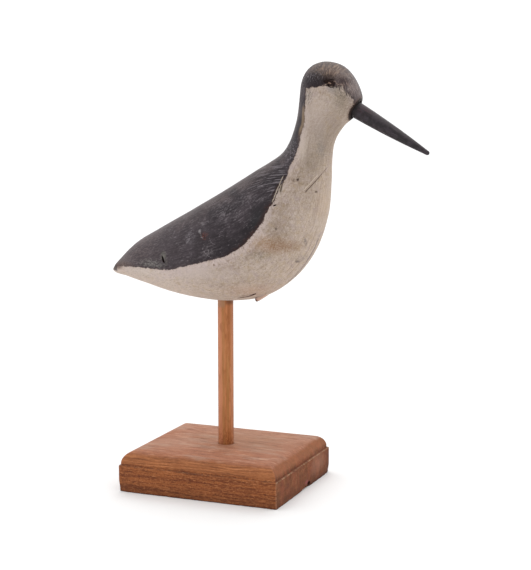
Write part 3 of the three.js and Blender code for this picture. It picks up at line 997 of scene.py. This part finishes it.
def frontPaint(board, place, grain, edge, rough):
    # the dirty cream of the throat, breast and belly
    x, y, z = place.split()
    upness = grain.split()[2] / bird["grainRadius"]
    clouds = place.noise(0.07, 4, 0.62)
    colour = board.blend(clouds.step(0.34, 0.68), tone(192, 175, 162), tone(169, 150, 136))
    patches = place.noise(0.2, 3, 0.6)
    colour.flecks(patches, (0.53, 0.72, 0.45, 150, 133, 112), (0.47, 0.3, 0.4, 206, 186, 176))
    blots = place.noise(0.38, 4, 0.68)
    colour.flecks(blots, (0.53, 0.66, 0.55, 144, 124, 102), (0.46, 0.33, 0.5, 210, 192, 182))
    mottle = place.noise(0.85, 3, 0.65)
    colour.flecks(mottle, (0.56, 0.7, 0.55, 140, 120, 98), (0.44, 0.3, 0.55, 214, 195, 186))
    strokes = grain.noise((0.07, 1.3, 1.3), 3, 0.65)
    throat = upness.step(-0.1, -0.6) * z.step(150, 175) * 0.3 + 0.28
    colour.flecks(strokes, (0.53, 0.72, 1, 140, 118, 100), (0.46, 0.3, 1, 214, 196, 184), where=throat)
    streaks = grain.noise((0.09, 0.75, 0.75), 3, 0.6)
    neck = z.band(188, 202, 214, 230)
    colour.flecks(streaks, (0.51, 0.62, 0.65, 132, 114, 98), (0.48, 0.37, 0.65, 214, 198, 188), where=neck)
    # painted light: the cream is made lighter towards the tail, as if lit from the floor below
    colour.lay(x.step(8, -24) * 0.66, 223, 208, 198)
    breast = upness.step(-0.5, -0.85) * x.step(30, 52) * z.step(222, 205)
    lines = grain.noise((0.05, 0.6, 0.6), 4, 0.7)
    colour.flecks(lines, (0.5, 0.6, 0.7, 138, 112, 100), (0.48, 0.38, 0.65, 224, 200, 176), where=breast)
    # painted light: the cream is made lighter where it faces down, as if lit from the floor
    under = upness.step(-0.1, -0.7) * (x.step(15, 45) * 0.1 + 0.45)
    colour.lay(under, 204, 185, 168)
    pale = (edge + rough * 5).step(-7, -2.5) * z.step(180, 168) * x.step(-46, -20)
    pale = pale * (blots.step(0.6, 0.42) * 0.5 + x.step(20, -5) * 0.35 + 0.25)
    pale = pale + edge.step(-5.0, -1.4) * z.band(184, 196, 222, 232) * 0.6
    colour.lay(pale, 208, 190, 184)
    tints = place.noise(0.3, 3, 0.65)
    colour.flecks(tints, (0.53, 0.66, 0.35, 184, 160, 126), (0.46, 0.34, 0.35, 176, 158, 160))
    fibres = grain.noise((0.45, 1.0, 1.0), 3, 0.72)
    colour.flecks(fibres, (0.53, 0.65, 0.3, 128, 108, 90), (0.46, 0.35, 0.3, 226, 210, 198))
    grit = place.noise(1.25, 3, 0.7)
    colour.flecks(grit, (0.58, 0.7, 0.65, 112, 94, 78), (0.42, 0.3, 0.6, 230, 214, 204))
    addMarks(colour, place, frontMarks, rough, grit)
    return colour, strokes


def eyeLines(board, place):
    # the pale worn lines over the tack and in front of it, seen from the side
    x, y, z = place.split()
    flat = board.join(x, 0.0, z)
    rag = (place.noise(1.4, 2) - 0.5) * 0.5
    over = flat.curve([(67, 242), (69.2, 242.7), (70.5, 243.7), (71.8, 243.2)], 0.45, rag)
    beside = flat.curve([(73.4, 244.6), (74.6, 243.4), (75.2, 242.7), (77.4, 242.6), (78.2, 241.4)], 0.5, rag)
    return over.atLeast(beside * 0.7) * place.noise(1.0, 2).step(0.36, 0.52)


def birdPaint():
    material, board = startFinish("birdPaint")
    place = inMillimetres(board)
    x, y, z = place.split()
    edge = board.node("ShaderNodeAttribute", {"attribute_name": "paintEdge"}, output="Fac")
    depth = board.node("ShaderNodeAttribute", {"attribute_name": "depth"}, output="Fac")
    grain = board.node("ShaderNodeAttribute", {"attribute_name": "grain"}, output="Vector")
    fine = place.noise(1.1, 3, 0.6)
    rough = fine - 0.5
    ragged = edge + (place.noise(0.42, 2) - 0.5) * 1.8 + rough * 1.2
    brow = place.spot((78, -10, 240), (5.5, 9, 5.5), 0.5)
    corner = place.spot((58, -13, 236.5), (3, 6, 5), 0.6)
    hair = board.join(x * 1.5 + z * 0.35, y * 0.4, z * 0.22).noise(1.0, 3, 0.65)
    ragged = ragged + (hair - 0.37) * brow * 9 + (hair - 0.5) * corner * 3
    ragged = ragged + z.band(170, 178, 188, 198) * 0.7 - x.step(-15, -35) * 0.65
    dark = ragged.step(-0.3, 0.2)

    back, backStrokes = backPaint(board, place, grain, edge, rough)
    front, frontStrokes = frontPaint(board, place, grain, edge, rough)

    # the brushed lines that curve over the shoulder
    reach, angle = polar(x - 50, z - 118)
    arcs = board.join(reach * 1.6, angle * 5.0, 0).noise(1.0, 3, 0.65)
    shoulder = place.spot((36.5, -17, 187.5), (14, 12, 10.5), 0.5, rough * 0.8)
    back.flecks(arcs, (0.49, 0.38, 0.8, 32, 25, 30), (0.53, 0.62, 0.75, 142, 134, 139), where=shoulder)

    # worn to brown along the nape, and the reddish rim of the dark paint
    nape = edge.band(-0.7, -0.2, 1.3, 2.5) * place.spot((54, -12, 222), (6, 8, 7.5))
    back.lay(nape * 0.85, 150, 128, 104)
    wing = place.spot((28, -24, 162), (20, 9, 24), 0.4)
    rim = ragged.step(3.2, 0.6) * (wing * 0.6 + 0.15) * (fine.step(0.36, 0.56) * 0.6 + 0.4)
    back.lay(rim, 50, 31, 30)
    back.lay(rim * fine.step(0.55, 0.64) * 0.8, 100, 62, 54)
    scuffed = ragged.step(-4.0, -0.6) * (wing * 0.6 + 0.15)
    front.flecks(fine, (0.62, 0.45, 0.8, 208, 192, 188), (0.55, 0.66, 0.9, 116, 94, 86), where=scuffed)
    slanted = board.join(x * 1.7 + z * 1.0, y * 0.3, z * 0.25 - x * 0.3).noise(1.0, 3, 0.7)
    back.lay(slanted.step(0.54, 0.66) * brow * 0.6, 160, 138, 128)
    front.flecks(slanted, (0.55, 0.66, 0.6, 212, 192, 182), (0.47, 0.36, 0.7, 104, 92, 80), where=brow)
    steep = board.join(x * 1.4 - z * 0.9, y * 0.3, z * 0.25 + x * 0.3).noise(1.0, 3, 0.7)
    front.flecks(steep, (0.49, 0.38, 0.8, 106, 100, 98), (0.55, 0.66, 0.6, 206, 196, 192), where=corner)
    colour = board.blend(dark, front, back)
    line = abs(ragged).step(0.55, 0.15) * (wing * 0.5 + 0.3)
    colour.lay(line, 58, 38, 33)

    # the lifted pale lip at the shoulder, with painted shadow in the gaps on both sides of it
    out = (-0.45, -0.85, 0.3)
    shadow = place.line((42.2, -19.6, 185.4), (38.9, -21.6, 178), out, 0.7, rough * 0.9)
    lip = place.line((44.5, -18, 190.2), (39.9, -22, 175.4), out, 0.36, rough * 0.7)
    gapShade = place.line((45.6, -18, 190.2), (43.2, -22, 182.2), out, 0.45, rough * 0.7)
    # painted shadow in both gaps beside the lip
    colour.lay(shadow * 0.8, 46, 26, 22)
    colour.lay(gapShade * 0.85, 58, 40, 32)
    colour.lay(lip, 186, 170, 154)

    # the crack in the breast, with a pale line beside it
    out = (0.67, -0.73, 0.12)
    crack = place.line((57.4, -16.7, 181.3), (64.5, -8.4, 191.5), out, 0.3, rough * 0.5)
    beside = place.line((56.4, -16.9, 182.3), (62.4, -10.4, 191), out, 0.35, rough * 0.5)
    crackEnd = place.line((64.5, -8.4, 191.5), (66, -4.1, 194.8), (0.85, -0.5, 0.12), 0.25, rough * 0.35)
    crack = crack.atLeast(crackEnd * 0.8)
    colour.lay(beside * 0.8, 218, 200, 184)
    colour.lay(crack * 0.9, 84, 62, 48)

    # a grey line down the middle of the breast
    joint = abs(y + 2.0 + (place.noise(0.12, 2) - 0.5) * 3)
    joint = joint.step(1.4, 0.5) * z.band(124, 128, 152, 158) * x.step(36, 41)
    colour.lay(joint * (1 - dark) * fine.step(0.38, 0.5) * 0.8, 124, 114, 116)

    # the split under the belly, with painted shade along it, and the splinter that hangs from it, with
    # painted shade on its broken end
    out = (0.1, -0.65, -0.75)
    splitShade = place.line((13, -12.1, 116.4), (21, -11.9, 118.1), out, 0.75, rough * 0.4)
    splitShadeEnd = place.line((20.4, -11.9, 118), (25, -12.4, 119.8), out, 0.95, rough * 0.5)
    # painted shade along the split
    colour.lay(splitShade.atLeast(splitShadeEnd), 64, 30, 22)
    raised = depth.step(0.35, 0.7)
    colour.lay(raised * 0.7, 208, 168, 148)
    tip = skinAt(*splinter["end"])
    # painted shade on the splinter's broken end
    broken = place.spot(tip + (0, 0, -1.6), (1.7, 4, 1.9), 0.3, rough * 0.6)
    colour.lay(broken * raised, 98, 52, 42)

    # painted shade round the root of the bill, where it goes into the head, on the front of the head only
    local = place.minus(onBird(*bill["root"]))
    fromBill = local.vectors("CROSS_PRODUCT", tuple(billWay())).length()
    fromBill = fromBill - bill["diameter"] / 2 + rough * 1.6
    face = local.dot(billWay()).step(-17, -13)
    colour.flecks(fromBill, (4.2, 2.0, 0.6, 104, 78, 66), (2.9, 1.9, 0.95, 34, 19, 15), where=face)

    tailEnd = place.spot((-69.3, -6.2, 130.2), (4.2, 6, 1.5), 0.7, rough * 1.6)
    colour.lay(tailEnd * 0.75, 94, 72, 66)
    tailTip = x.step(-69.4, -70.8) * z.step(126.8, 127.6)
    colour.lay(tailTip * (1 - dark) * 0.8, 58, 46, 48)
    # painted shade inside everything cut below the skin: sockets, hollows and the split
    inside = depth.step(-0.3, -0.7)
    colour.lay(inside, 40, 22, 17)
    colour.lay(eyeLines(board, place) * 0.75, 168, 144, 130)
    height = dark * 0.1 + backStrokes * dark * 0.12 + frontStrokes * (1 - dark) * 0.08
    height = height + ragged.band(-1.2, -0.1, 0.1, 0.9) * 0.12
    height = height + lip * 0.25 - crack * 0.3 + fine * 0.05 + shoulder * arcs * 0.3
    finishMaterial(board, colour, dark * -0.18 + 0.78, height, Specular_IOR_Level=0.2)
    return material


bodyPiece = buildBird()
bodyPiece.data.materials.clear()
bodyPiece.data.materials.append(birdPaint())
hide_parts("bird_body")
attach(bodyPiece, "root")
print("bird carved and painted", len(bodyPiece.data.polygons), "faces")


# Turned pieces: bill, eye tacks and stick

def turnedTree(name, inputs, outline):
    # outline gives the distance along the axis and the radius at a share of the way
    tree, board, wires = newTree(name, inputs)
    ends = {"Start": (0, 0, 0), "End": (0, 0, 1)}
    line = board.node("GeometryNodeCurvePrimitiveLine", {"mode": "POINTS"}, ends)
    line = board.node("GeometryNodeResampleCurve", {"mode": "COUNT"}, {"Curve": line, "Count": wires["rows"]})
    share = board.node("GeometryNodeSplineParameter", output="Factor")
    along, radius = outline(wires, share)
    line = board.node("GeometryNodeSetCurveRadius", values={"Curve": line, "Radius": radius})
    place = wires["start"].vectors("ADD", board.times(wires["way"], along))
    line = board.node("GeometryNodeSetPosition", values={"Geometry": line, "Position": place})
    ring = {"Resolution": wires["sides"], "Radius": 1.0}
    solid = {
        "Curve": line,
        "Profile Curve": board.node("GeometryNodeCurvePrimitiveCircle", values=ring),
        "Scale": board.node("GeometryNodeInputRadius"),
        "Fill Caps": True,
    }
    skin = board.node("GeometryNodeCurveToMesh", values=solid)
    skin = board.node("GeometryNodeMergeByDistance", values={"Geometry": skin, "Distance": 2e-6})
    here = board.node("GeometryNodeInputPosition")
    lumps = here.vectors("MULTIPLY", wires["lumpScale"]).noise(1.0, 2) - 0.5
    skin = shifted(board, skin, board.node("GeometryNodeInputNormal"), lumps * wires["lumps"])
    endTree(board, skin, wires["finish"])
    return tree


def billOutline(wires, share):
    tipStart = 0.86  # the round tip takes the last part of the way
    tip = share.ramp(tipStart, 1.0) * (math.pi / 2)
    radiusAtTip = wires["tip"] * 0.5
    along = wires["showing"] + wires["inHead"] - radiusAtTip
    along = share.ramp(0.0, tipStart) * along + tip.maths("SINE") * radiusAtTip - wires["inHead"]
    out = along.ramp(0.0, wires["showing"] - radiusAtTip)
    radius = wires["diameter"] * 0.5 * (1 - out) + radiusAtTip * out
    radius = radius + wires["swell"] * (out * math.pi).maths("SINE")
    return along, radius * tip.maths("COSINE") * share.step(0.0, 0.004)


def eyeOutline(wires, share):
    # shank, then the flat back of the head, then the dome
    shankEnd, backEnd, rimEnd, hair = 0.3, 0.4, 0.5, 0.02 * mm
    back = share.ramp(shankEnd, backEnd)
    dome = share.ramp(rimEnd, 1.0) * (math.pi / 2)
    along = (share.ramp(0.0, shankEnd) - 1) * (wires["shankLength"] - wires["hole"]) - wires["hole"]
    along = along + back * hair + share.ramp(backEnd, rimEnd) * (wires["hole"] - hair)
    along = along + dome.maths("SINE") * wires["dome"]
    radius = wires["shank"] * 0.5 + back * (wires["diameter"] - wires["shank"]) * 0.5
    return along, radius * dome.maths("COSINE") * share.step(0.0, 0.01)


def stickOutline(wires, share):
    along = share * wires["length"]
    fromEnd = along.atMost(wires["length"] - along)
    bevel = 1 - (fromEnd / wires["bevel"]).atMost(1.0)
    return along, wires["diameter"] * 0.5 - bevel * wires["bevel"]


def sizesOf(source, *names):
    return {name: source[name] * mm for name in names}


def billPaint():
    material, board = startFinish("billPaint")
    place = inMillimetres(board)
    droop = math.radians(bill["droop"])
    local = place.minus(onBird(*bill["root"]))
    along = local.dot(billWay())
    above = local.dot((math.sin(droop), 0.0, math.cos(droop)))
    y = place.split()[1]
    radius = bill["diameter"] / 2 - along * ((bill["diameter"] - bill["tip"]) / 2 / bill["showing"])
    up = above / radius
    strokes = board.join(along, y, above).noise((0.14, 1.1, 1.1), 3, 0.65)
    clouds = place.noise(0.28, 3, 0.6)
    colour = board.blend(clouds.step(0.38, 0.64), tone(42, 37, 40), tone(60, 52, 58))
    colour.flecks(strokes, (0.54, 0.72, 0.4, 92, 84, 88), (0.46, 0.3, 0.4, 28, 24, 27))
    # painted highlight: the bill is lighter along its upper side, as if lit from above
    colour.lay(up.step(0.45, 0.95) * 0.4, 92, 84, 86)
    reddish = place.spot((90, -4, 232), (10, 8, 5), 0.8, (clouds - 0.5) * 2)
    colour.lay(reddish * strokes.step(0.4, 0.6) * 0.45, 86, 50, 58)
    # painted shade where the bill goes into the head
    root = (along + (clouds - 0.5) * 2).step(2.4, 0.4)
    colour.lay(root * 0.8, 26, 20, 20)
    height = strokes * 0.1 + clouds * 0.05
    finishMaterial(board, colour, strokes * 0.25 + 0.4, height, Specular_IOR_Level=0.28)
    return material


def tackIron():
    material, board = startFinish("tackIron")
    place = inMillimetres(board)
    fine = place.noise(1.6, 3, 0.6)
    z = place.split()[2]
    colour = board.blend(fine.step(0.36, 0.64), tone(27, 15, 13), tone(50, 29, 24))
    painted = (z + (fine - 0.5) * 0.8).step(241.9, 241.5)
    colour.lay(painted, 132, 116, 105)
    colour.lay(eyeLines(board, place) * 0.75, 166, 136, 118)
    finishMaterial(board, colour, fine * 0.3 + 0.45, fine * 0.2, Metallic=0.15, Specular_IOR_Level=0.2)
    return material


def dowelWood():
    material, board = startFinish("dowelWood")
    place = inMillimetres(board)
    x, y, z = place.split()
    azimuth = math.radians(view["azimuth"])
    across = (x * math.cos(azimuth) + y * math.sin(azimuth)) / (stick["diameter"] / 2)
    grain = place.noise((0.8, 0.8, 0.06), 4, 0.6)
    hairs = place.noise((3.0, 3.0, 0.15), 3, 0.6)
    blotches = place.noise((0.5, 0.5, 0.16), 3, 0.6)
    wave = across + (place.noise((0.1, 0.1, 0.05), 2) - 0.5) * 0.35
    colour = board.blend(grain.step(0.35, 0.65), tone(185, 117, 67), tone(210, 136, 88))

    def stripe(middle, half):
        return abs(wave - middle).step(half * 1.5, half * 0.4)

    lower = z.band(30, 40, 74, 84)
    # painted highlight: a pale pinkish stripe down the stick's left side as the camera sees it
    colour.lay(stripe(-0.66, 0.22) * 0.65, 214, 142, 108)
    colour.lay(stripe(-0.27, 0.15) * 0.6, 180, 126, 76)
    colour.lay(stripe(0.3, 0.16) * lower * 0.55, 172, 122, 66)
    colour.lay(stripe(0.42, 0.2) * (1 - lower) * 0.5, 160, 94, 48)
    colour.lay(stripe(0.78, 0.12) * 0.5, 190, 128, 96)
    colour.flecks(blotches, (0.54, 0.68, 0.4, 150, 88, 48), (0.45, 0.32, 0.3, 206, 136, 90))
    # painted shade at the stick's left and right edges as the camera sees them
    edges = abs(across).step(0.88, 1.0)
    colour.lay(edges * 0.6, 118, 82, 68)
    figure = place.noise((0.7, 0.7, 0.3), 3, 0.65, 1.2)
    foot = z.step(38, 28)
    colour.flecks(figure, (0.46, 0.6, 0.6, 136, 76, 36), (0.46, 0.34, 0.4, 196, 122, 58), where=foot)
    colour.flecks(hairs, (0.52, 0.7, 0.25, 134, 82, 50), (0.46, 0.3, 0.2, 216, 150, 110))
    # painted shadow of the belly on the right of the stick's top
    bellyShadow = z.step(109.5, 111.8) * across.step(-0.1, 0.2)
    colour.lay(bellyShadow * 0.6, 96, 60, 44)
    smear = (z + (blotches - 0.5) * 8).step(108.2, 110.6) * across.step(0.1, -0.2)
    colour.lay(smear * 0.5, 168, 136, 108)
    # painted shadow at the foot where the stick goes into the block
    colour.lay(z.step(26.0, 24.3) * 0.15, 92, 52, 34)
    height = hairs * 0.08 + grain * 0.08
    finishMaterial(board, colour, hairs * 0.2 + 0.42, height, Specular_IOR_Level=0.22)
    return material


def blockWood():
    material, board = startFinish("blockWood")
    place = inMillimetres(board)
    x, y, z = place.split()
    outX = abs(x) - block["length"] / 2
    outY = abs(y) - block["width"] / 2
    end = (outX - outY).step(-0.4, 0.4)
    side = outX.atLeast(outY).step(-0.8, -0.4)
    warp = (place.noise((0.02, 0.06, 0.06), 2) - 0.5) * 3.5
    warped = board.join(x, y + warp, z + warp)
    bands = warped.noise((0.022, 0.5, 0.5), 4, 0.65)
    lines = warped.noise((0.05, 1.2, 1.2), 4, 0.72)
    hairs = place.noise((0.25, 2.4, 2.4), 3, 0.65)
    clouds = place.noise(0.09, 3, 0.6)
    drift = clouds - 0.5
    fine = place.noise(0.9, 3, 0.65)

    colour = board.blend(bands.step(0.34, 0.64), tone(122, 62, 32), tone(168, 97, 52))
    colour.flecks(lines, (0.52, 0.66, 0.6, 206, 130, 80), (0.47, 0.34, 0.6, 80, 38, 19))
    colour.flecks(hairs, (0.54, 0.7, 0.5, 64, 34, 18), (0.45, 0.3, 0.4, 204, 138, 88))
    dashes = warped.noise((0.42, 1.8, 1.8), 3, 0.75)
    colour.flecks(dashes, (0.54, 0.64, 0.6, 72, 37, 20), (0.45, 0.35, 0.5, 214, 144, 92))
    low = (z + drift * 10).step(9, 0) * 0.4
    colour.lay(low, 88, 48, 26)
    plinth = z.step(18, 13)
    colour.flecks(fine, (0.55, 0.68, 0.5, 80, 42, 25), (0.45, 0.32, 0.4, 192, 122, 76), where=plinth)
    # painted light: the rounded edge below the top is made lighter, as it turns up to the light
    litRoundedEdge = z.band(16.4, 18.6, 22, 23.8)
    colour.lay(litRoundedEdge * 0.4, 192, 126, 82)
    colour.flecks(lines, (0.48, 0.36, 0.6, 112, 62, 36), (0.54, 0.66, 0.5, 216, 146, 96), where=litRoundedEdge)

    # end grain, redder and duller, with upright marks
    upright = place.noise((0.3, 0.28, 0.07), 4, 0.65)
    patches = place.noise((0.2, 0.2, 0.28), 3, 0.6)
    endTone = board.blend(upright.step(0.38, 0.62), tone(134, 73, 48), tone(104, 64, 37))
    endTone.flecks(patches, (0.53, 0.66, 0.6, 90, 50, 38), (0.47, 0.32, 0.55, 156, 98, 64))
    endTone.flecks(fine, (0.52, 0.68, 0.5, 150, 92, 62), (0.46, 0.3, 0.5, 80, 42, 26))
    # painted light: the rounded edge at the top of the end is made lighter
    endTone.lay(z.step(17, 20) * 0.5, 168, 108, 76)
    endTone.lay((z + drift * 12).step(9, 1) * 0.35, 88, 50, 32)
    bleached = place.spot((51, 25, 11), (3, 9, 5), 0.8, drift * 2)
    endTone.lay(bleached * 0.4, 178, 128, 106)
    farSide = y.step(36, 43.5) * z.step(17, 14)
    endTone.lay(farSide * 0.55, 74, 44, 38)
    # painted shade: a dark band along the foot of the end face, towards the back
    bottomEdgeShade = z.step(3.4, 0.8) * y.step(7, 11)
    endTone.lay(bottomEdgeShade * 0.6, 66, 36, 30)
    colour = board.blend(end * 0.85, colour, endTone)

    # the top: dust, and a lighter colour all over that is partly painted light from above
    top = (z + drift * 2).step(22.3, 23.8)
    dust = place.noise((0.03, 0.09, 0.09), 3, 0.6)
    wear = place.noise((0.1, 0.26, 0.26), 4, 0.68)
    streaks = place.noise((0.09, 1.1, 1.1), 3, 0.65)
    # partly dust, partly painted light from above
    colour.lay(top * 0.6, 180, 124, 98)
    colour.lay(top * dust.step(0.48, 0.66) * 0.5, 178, 150, 130)
    colour.lay(top * (y + drift * 30).step(5, 35) * 0.3, 190, 154, 134)
    colour.flecks(wear, (0.52, 0.66, 0.6, 128, 76, 54), (0.46, 0.32, 0.45, 204, 158, 132), where=top)
    colour.flecks(streaks, (0.53, 0.66, 0.5, 116, 68, 48), (0.46, 0.32, 0.35, 214, 164, 136), where=top)
    pale = place.spot((-34, -12, 24), (16, 12, 9), 0.8, drift * 2)
    colour.lay(top * pale * 0.35, 190, 152, 130)
    aroundStick = place.spot((8, 10, 24), (26, 20, 9), 0.9, drift * 2)
    colour.lay(top * aroundStick * 0.4, 156, 126, 102)

    # the step: darker along its corner, and a pale worn arris at the ends
    groove = abs(z - 16.4).step(0.6, 0.3) * fine.step(0.36, 0.56)
    colour.lay(groove * (1 - end * 0.4) * 0.45, 84, 46, 30)
    arris = abs(z - 15.8).step(0.45, 0.2) * side
    arris = arris * (end * 0.5 + 0.12) * fine.step(0.4, 0.56) * (patches.step(0.56, 0.44) * 0.7 + 0.3)
    colour.lay(arris, 180, 152, 122)
    corner = outX.atMost(outY).step(-0.75, -0.45) * z.step(17, 15.8)
    colour.lay(corner * fine.step(0.36, 0.52) * 0.4, 190, 142, 112)
    # painted contact shadow along the bottom edge all round
    colour.lay(z.step(0.9, 0.2) * 0.6, 56, 30, 22)

    # the chip: painted shade in its hole, with a painted reddish highlight beside it
    hole = place.spot((50.6, 8.2, 2), (2, 2.5, 1.5), 0.3, (fine - 0.5) * 0.5)
    reddish = place.spot((51, 4.4, 3.6), (3, 2.8, 1.2), 0.5, fine - 0.5)
    # painted reddish highlight above the hole
    colour.lay(reddish * 0.7, 158, 88, 84)
    # painted shade in the chip's hole
    colour.lay(hole * 0.9, 44, 16, 14)

    height = lines * 0.14 + hairs * 0.08 + fine * 0.08
    roughness = lines * 0.25 + top.atLeast(end) * 0.25 + 0.45
    finishMaterial(board, colour, roughness, height, Specular_IOR_Level=0.2)
    return material


def buildBill():
    inputs = {
        "rows": 120,
        "sides": 64,
        "start": tuple(onBird(*bill["root"]) * mm),
        "way": tuple(billWay()),
        "lumpScale": (90.0, 220.0, 220.0),
        "lumps": bill["facets"] * mm,
        "finish": billPaint(),
        **sizesOf(bill, "showing", "inHead", "tip", "diameter", "swell"),
    }
    piece = grow("painted_bill", turnedTree("bill", inputs, billOutline), inputs)
    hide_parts("bill")
    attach(piece, "root")


def buildEyes():
    inputs = {
        "rows": 60,
        "sides": 48,
        "start": (0.0, 0.0, 0.0),
        "way": (0.0, 1.0, 0.0),
        "lumpScale": (700.0, 700.0, 700.0),
        "lumps": 0.1 * mm,
        "finish": tackIron(),
        **sizesOf(eye, "shank", "shankLength", "hole", "diameter", "dome"),
    }
    tree = turnedTree("eye tack", inputs, eyeOutline)
    for name, side in (("right", -1), ("left", 1)):
        inputs["start"] = tuple(onBird(*eye["place"], side * eye["side"]) * mm)
        inputs["way"] = (0.0, float(side), 0.0)
        piece = grow("tack_eye_" + name, tree, inputs)
        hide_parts("eye_" + name)
        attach(piece, "root")


def buildStick():
    inputs = {
        "rows": 200,
        "sides": 72,
        "start": (0.0, 0.0, stick["foot"] * mm),
        "way": (0.0, 0.0, 1.0),
        "lumpScale": (300.0, 300.0, 20.0),
        "lumps": 0.08 * mm,
        "length": (stick["top"] - stick["foot"]) * mm,
        "finish": dowelWood(),
        **sizesOf(stick, "diameter", "bevel"),
    }
    piece = grow("dowel_stick", turnedTree("stick", inputs, stickOutline), inputs)
    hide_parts("stick")
    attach(piece, "root")


buildBill()
buildEyes()
buildStick()
print("bill, eyes and stick turned")


# The block

block = {
    "length": 102.0,
    "width": 89.0,
    "plinth": 16.0,
    "stepWidth": 1.2,
    "stepRise": 0.9,
    "edgeRadius": 7.2,
    "wear": 0.5,
    "corner": 0.9,
    "lumps": 0.12,
    "wornReach": 8.0,
    "wornDepth": 0.8,
    "farReach": 6.0,
    "farDepth": 0.7,
    "frontStep": 0.4,  # how much of the step is left along the front
}
chip = {
    "start": -16.0,
    "deepest": 7.2,
    "end": 10.0,
    "height": 1.8,
    "depth": 1.1,
    "pit": ("chip_hole", (50.7, 8.2, 2.0), (1.5, 2.3, 1.1), 0, 61),
}


def blockTree(inputs):
    tree, board, wires = newTree("block of wood", inputs)
    counts = {"Vertices X": wires["columns"], "Vertices Y": wires["rows"], "Vertices Z": wires["layers"]}
    cube = board.node("GeometryNodeMeshCube", values={"Size": (2.0, 2.0, 1.0), **counts})
    x, y, z = board.node("GeometryNodeInputPosition").split()
    layer = z + 0.5

    # parts of the way up: the worn bottom edge, the side, the step's tread and riser, the rounding
    ends = (0.0, 0.05, 0.54, 0.58, 0.62, 1.0)
    worn, side, tread, riser, rounding = (layer.ramp(low, high) for low, high in zip(ends, ends[1:]))
    worn, rounding = worn * (math.pi / 2), rounding * (math.pi / 2)
    uneven = board.join(x * 9, y * 8, 2.5).noise(1.0, 3, 0.6)
    wear = wires["wear"] * (uneven.step(0.46, 0.64) * 1.2 + 0.2)
    height = wear * (1 - worn.maths("COSINE")) + (wires["plinth"] - wear) * side
    height = height + wires["stepRise"] * riser + wires["edgeRadius"] * rounding.maths("SINE")
    inset = wear * (1 - worn.maths("SINE")) + wires["stepWidth"] * tread
    inset = inset + wires["edgeRadius"] * (1 - rounding.maths("COSINE"))

    def spread(unit):
        # crowds the rows of the grid towards the edges
        return unit * (1 + 0.3 * (1 - unit * unit))

    halfX, halfY = wires["length"] * 0.5 - inset, wires["width"] * 0.5 - inset
    x, y = spread(x) * halfX, spread(y) * halfY
    radius = wires["corner"]

    def inCorner(value, half):
        return ((abs(value) - half + radius) / radius).atLeast(0.0)

    a, b = inCorner(x, halfX), inCorner(y, halfY)

    def pulled(value, own, across):
        # pulls a square corner in to a quarter circle
        curved = own * (1 - across * across * 0.5).maths("SQRT")
        return value + value.maths("SIGN") * (curved - own) * radius

    towardsFront = (y / halfY * -1).atLeast(0.0)
    filled = wires["stepWidth"] * (1 - wires["frontStep"]) * tread * towardsFront
    place = board.join(pulled(x, a, b), pulled(y, b, a) - filled, height)
    skin = board.node("GeometryNodeSetPosition", values={"Geometry": cube, "Position": place})
    here = board.node("GeometryNodeInputPosition")
    lumps = here.noise((60, 260, 260), 3) - 0.5
    lumps = lumps * here.split()[2].step(0.0, 0.003) * wires["lumps"]
    skin = shifted(board, skin, board.node("GeometryNodeInputNormal"), lumps)

    # the feet of two corners are worn round: the rear right one and the front left one
    for name in ("worn", "far"):
        corner = wires[name + "Corner"]
        away = board.node("GeometryNodeInputPosition").vectors("DISTANCE", corner, output="Value")
        amount = away.step(wires[name + "Reach"], 0.0) * wires[name + "Depth"]
        inward = board.vectors("SUBTRACT", (0.0, 0.0, 12 * mm), corner).vectors("NORMALIZE")
        skin = shifted(board, skin, inward, amount)
    endTree(board, skin, wires["finish"])
    return tree


def chipCutter():
    # the worn foot of the right end, which deepens slowly along the edge and ends abruptly
    outside, hair, steps = 1.0, 0.05, 40
    face = block["length"] / 2
    rings = []
    for y in np.linspace(chip["start"], chip["end"], steps + 1):
        size = smooth(y, chip["start"], chip["deepest"]) * smooth(y, chip["end"], chip["deepest"])
        depth, height = hair + chip["depth"] * size, hair + chip["height"] * size
        corners = np.array([
            (face - depth, y, -outside),
            (face - depth, y, height / 3),
            (face + outside, y, height),
            (face + outside, y, -outside),
        ])
        ring = np.array(fourSided(corners))
        rings.append(ring + wobble(ring, 1.3, 60) * 0.25 * size)
    return skinOver("chip", rings, rings[0].mean(axis=0), rings[-1].mean(axis=0))


def buildBlock():
    inputs = {
        "columns": 128,
        "rows": 112,
        "layers": 50,
        "wornCorner": (-block["length"] / 2 * mm, -block["width"] / 2 * mm, 0.0),
        "farCorner": (block["length"] / 2 * mm, block["width"] / 2 * mm, 0.0),
        "finish": blockWood(),
        **sizesOf(block, *block),
        "frontStep": block["frontStep"],
    }
    piece = grow("wood_block", blockTree(inputs), inputs)
    hole = stickHole(stick["mouth"], stick["foot"], -1, stick["roomInBlock"])
    shape(piece, [hole, chipCutter(), pit(*chip["pit"])])
    piece.data.materials.clear()
    piece.data.materials.append(inputs["finish"])
    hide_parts("base_block")
    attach(piece, "root")
    return piece


blockPiece = buildBlock()
print("block made", len(blockPiece.data.polygons), "faces")
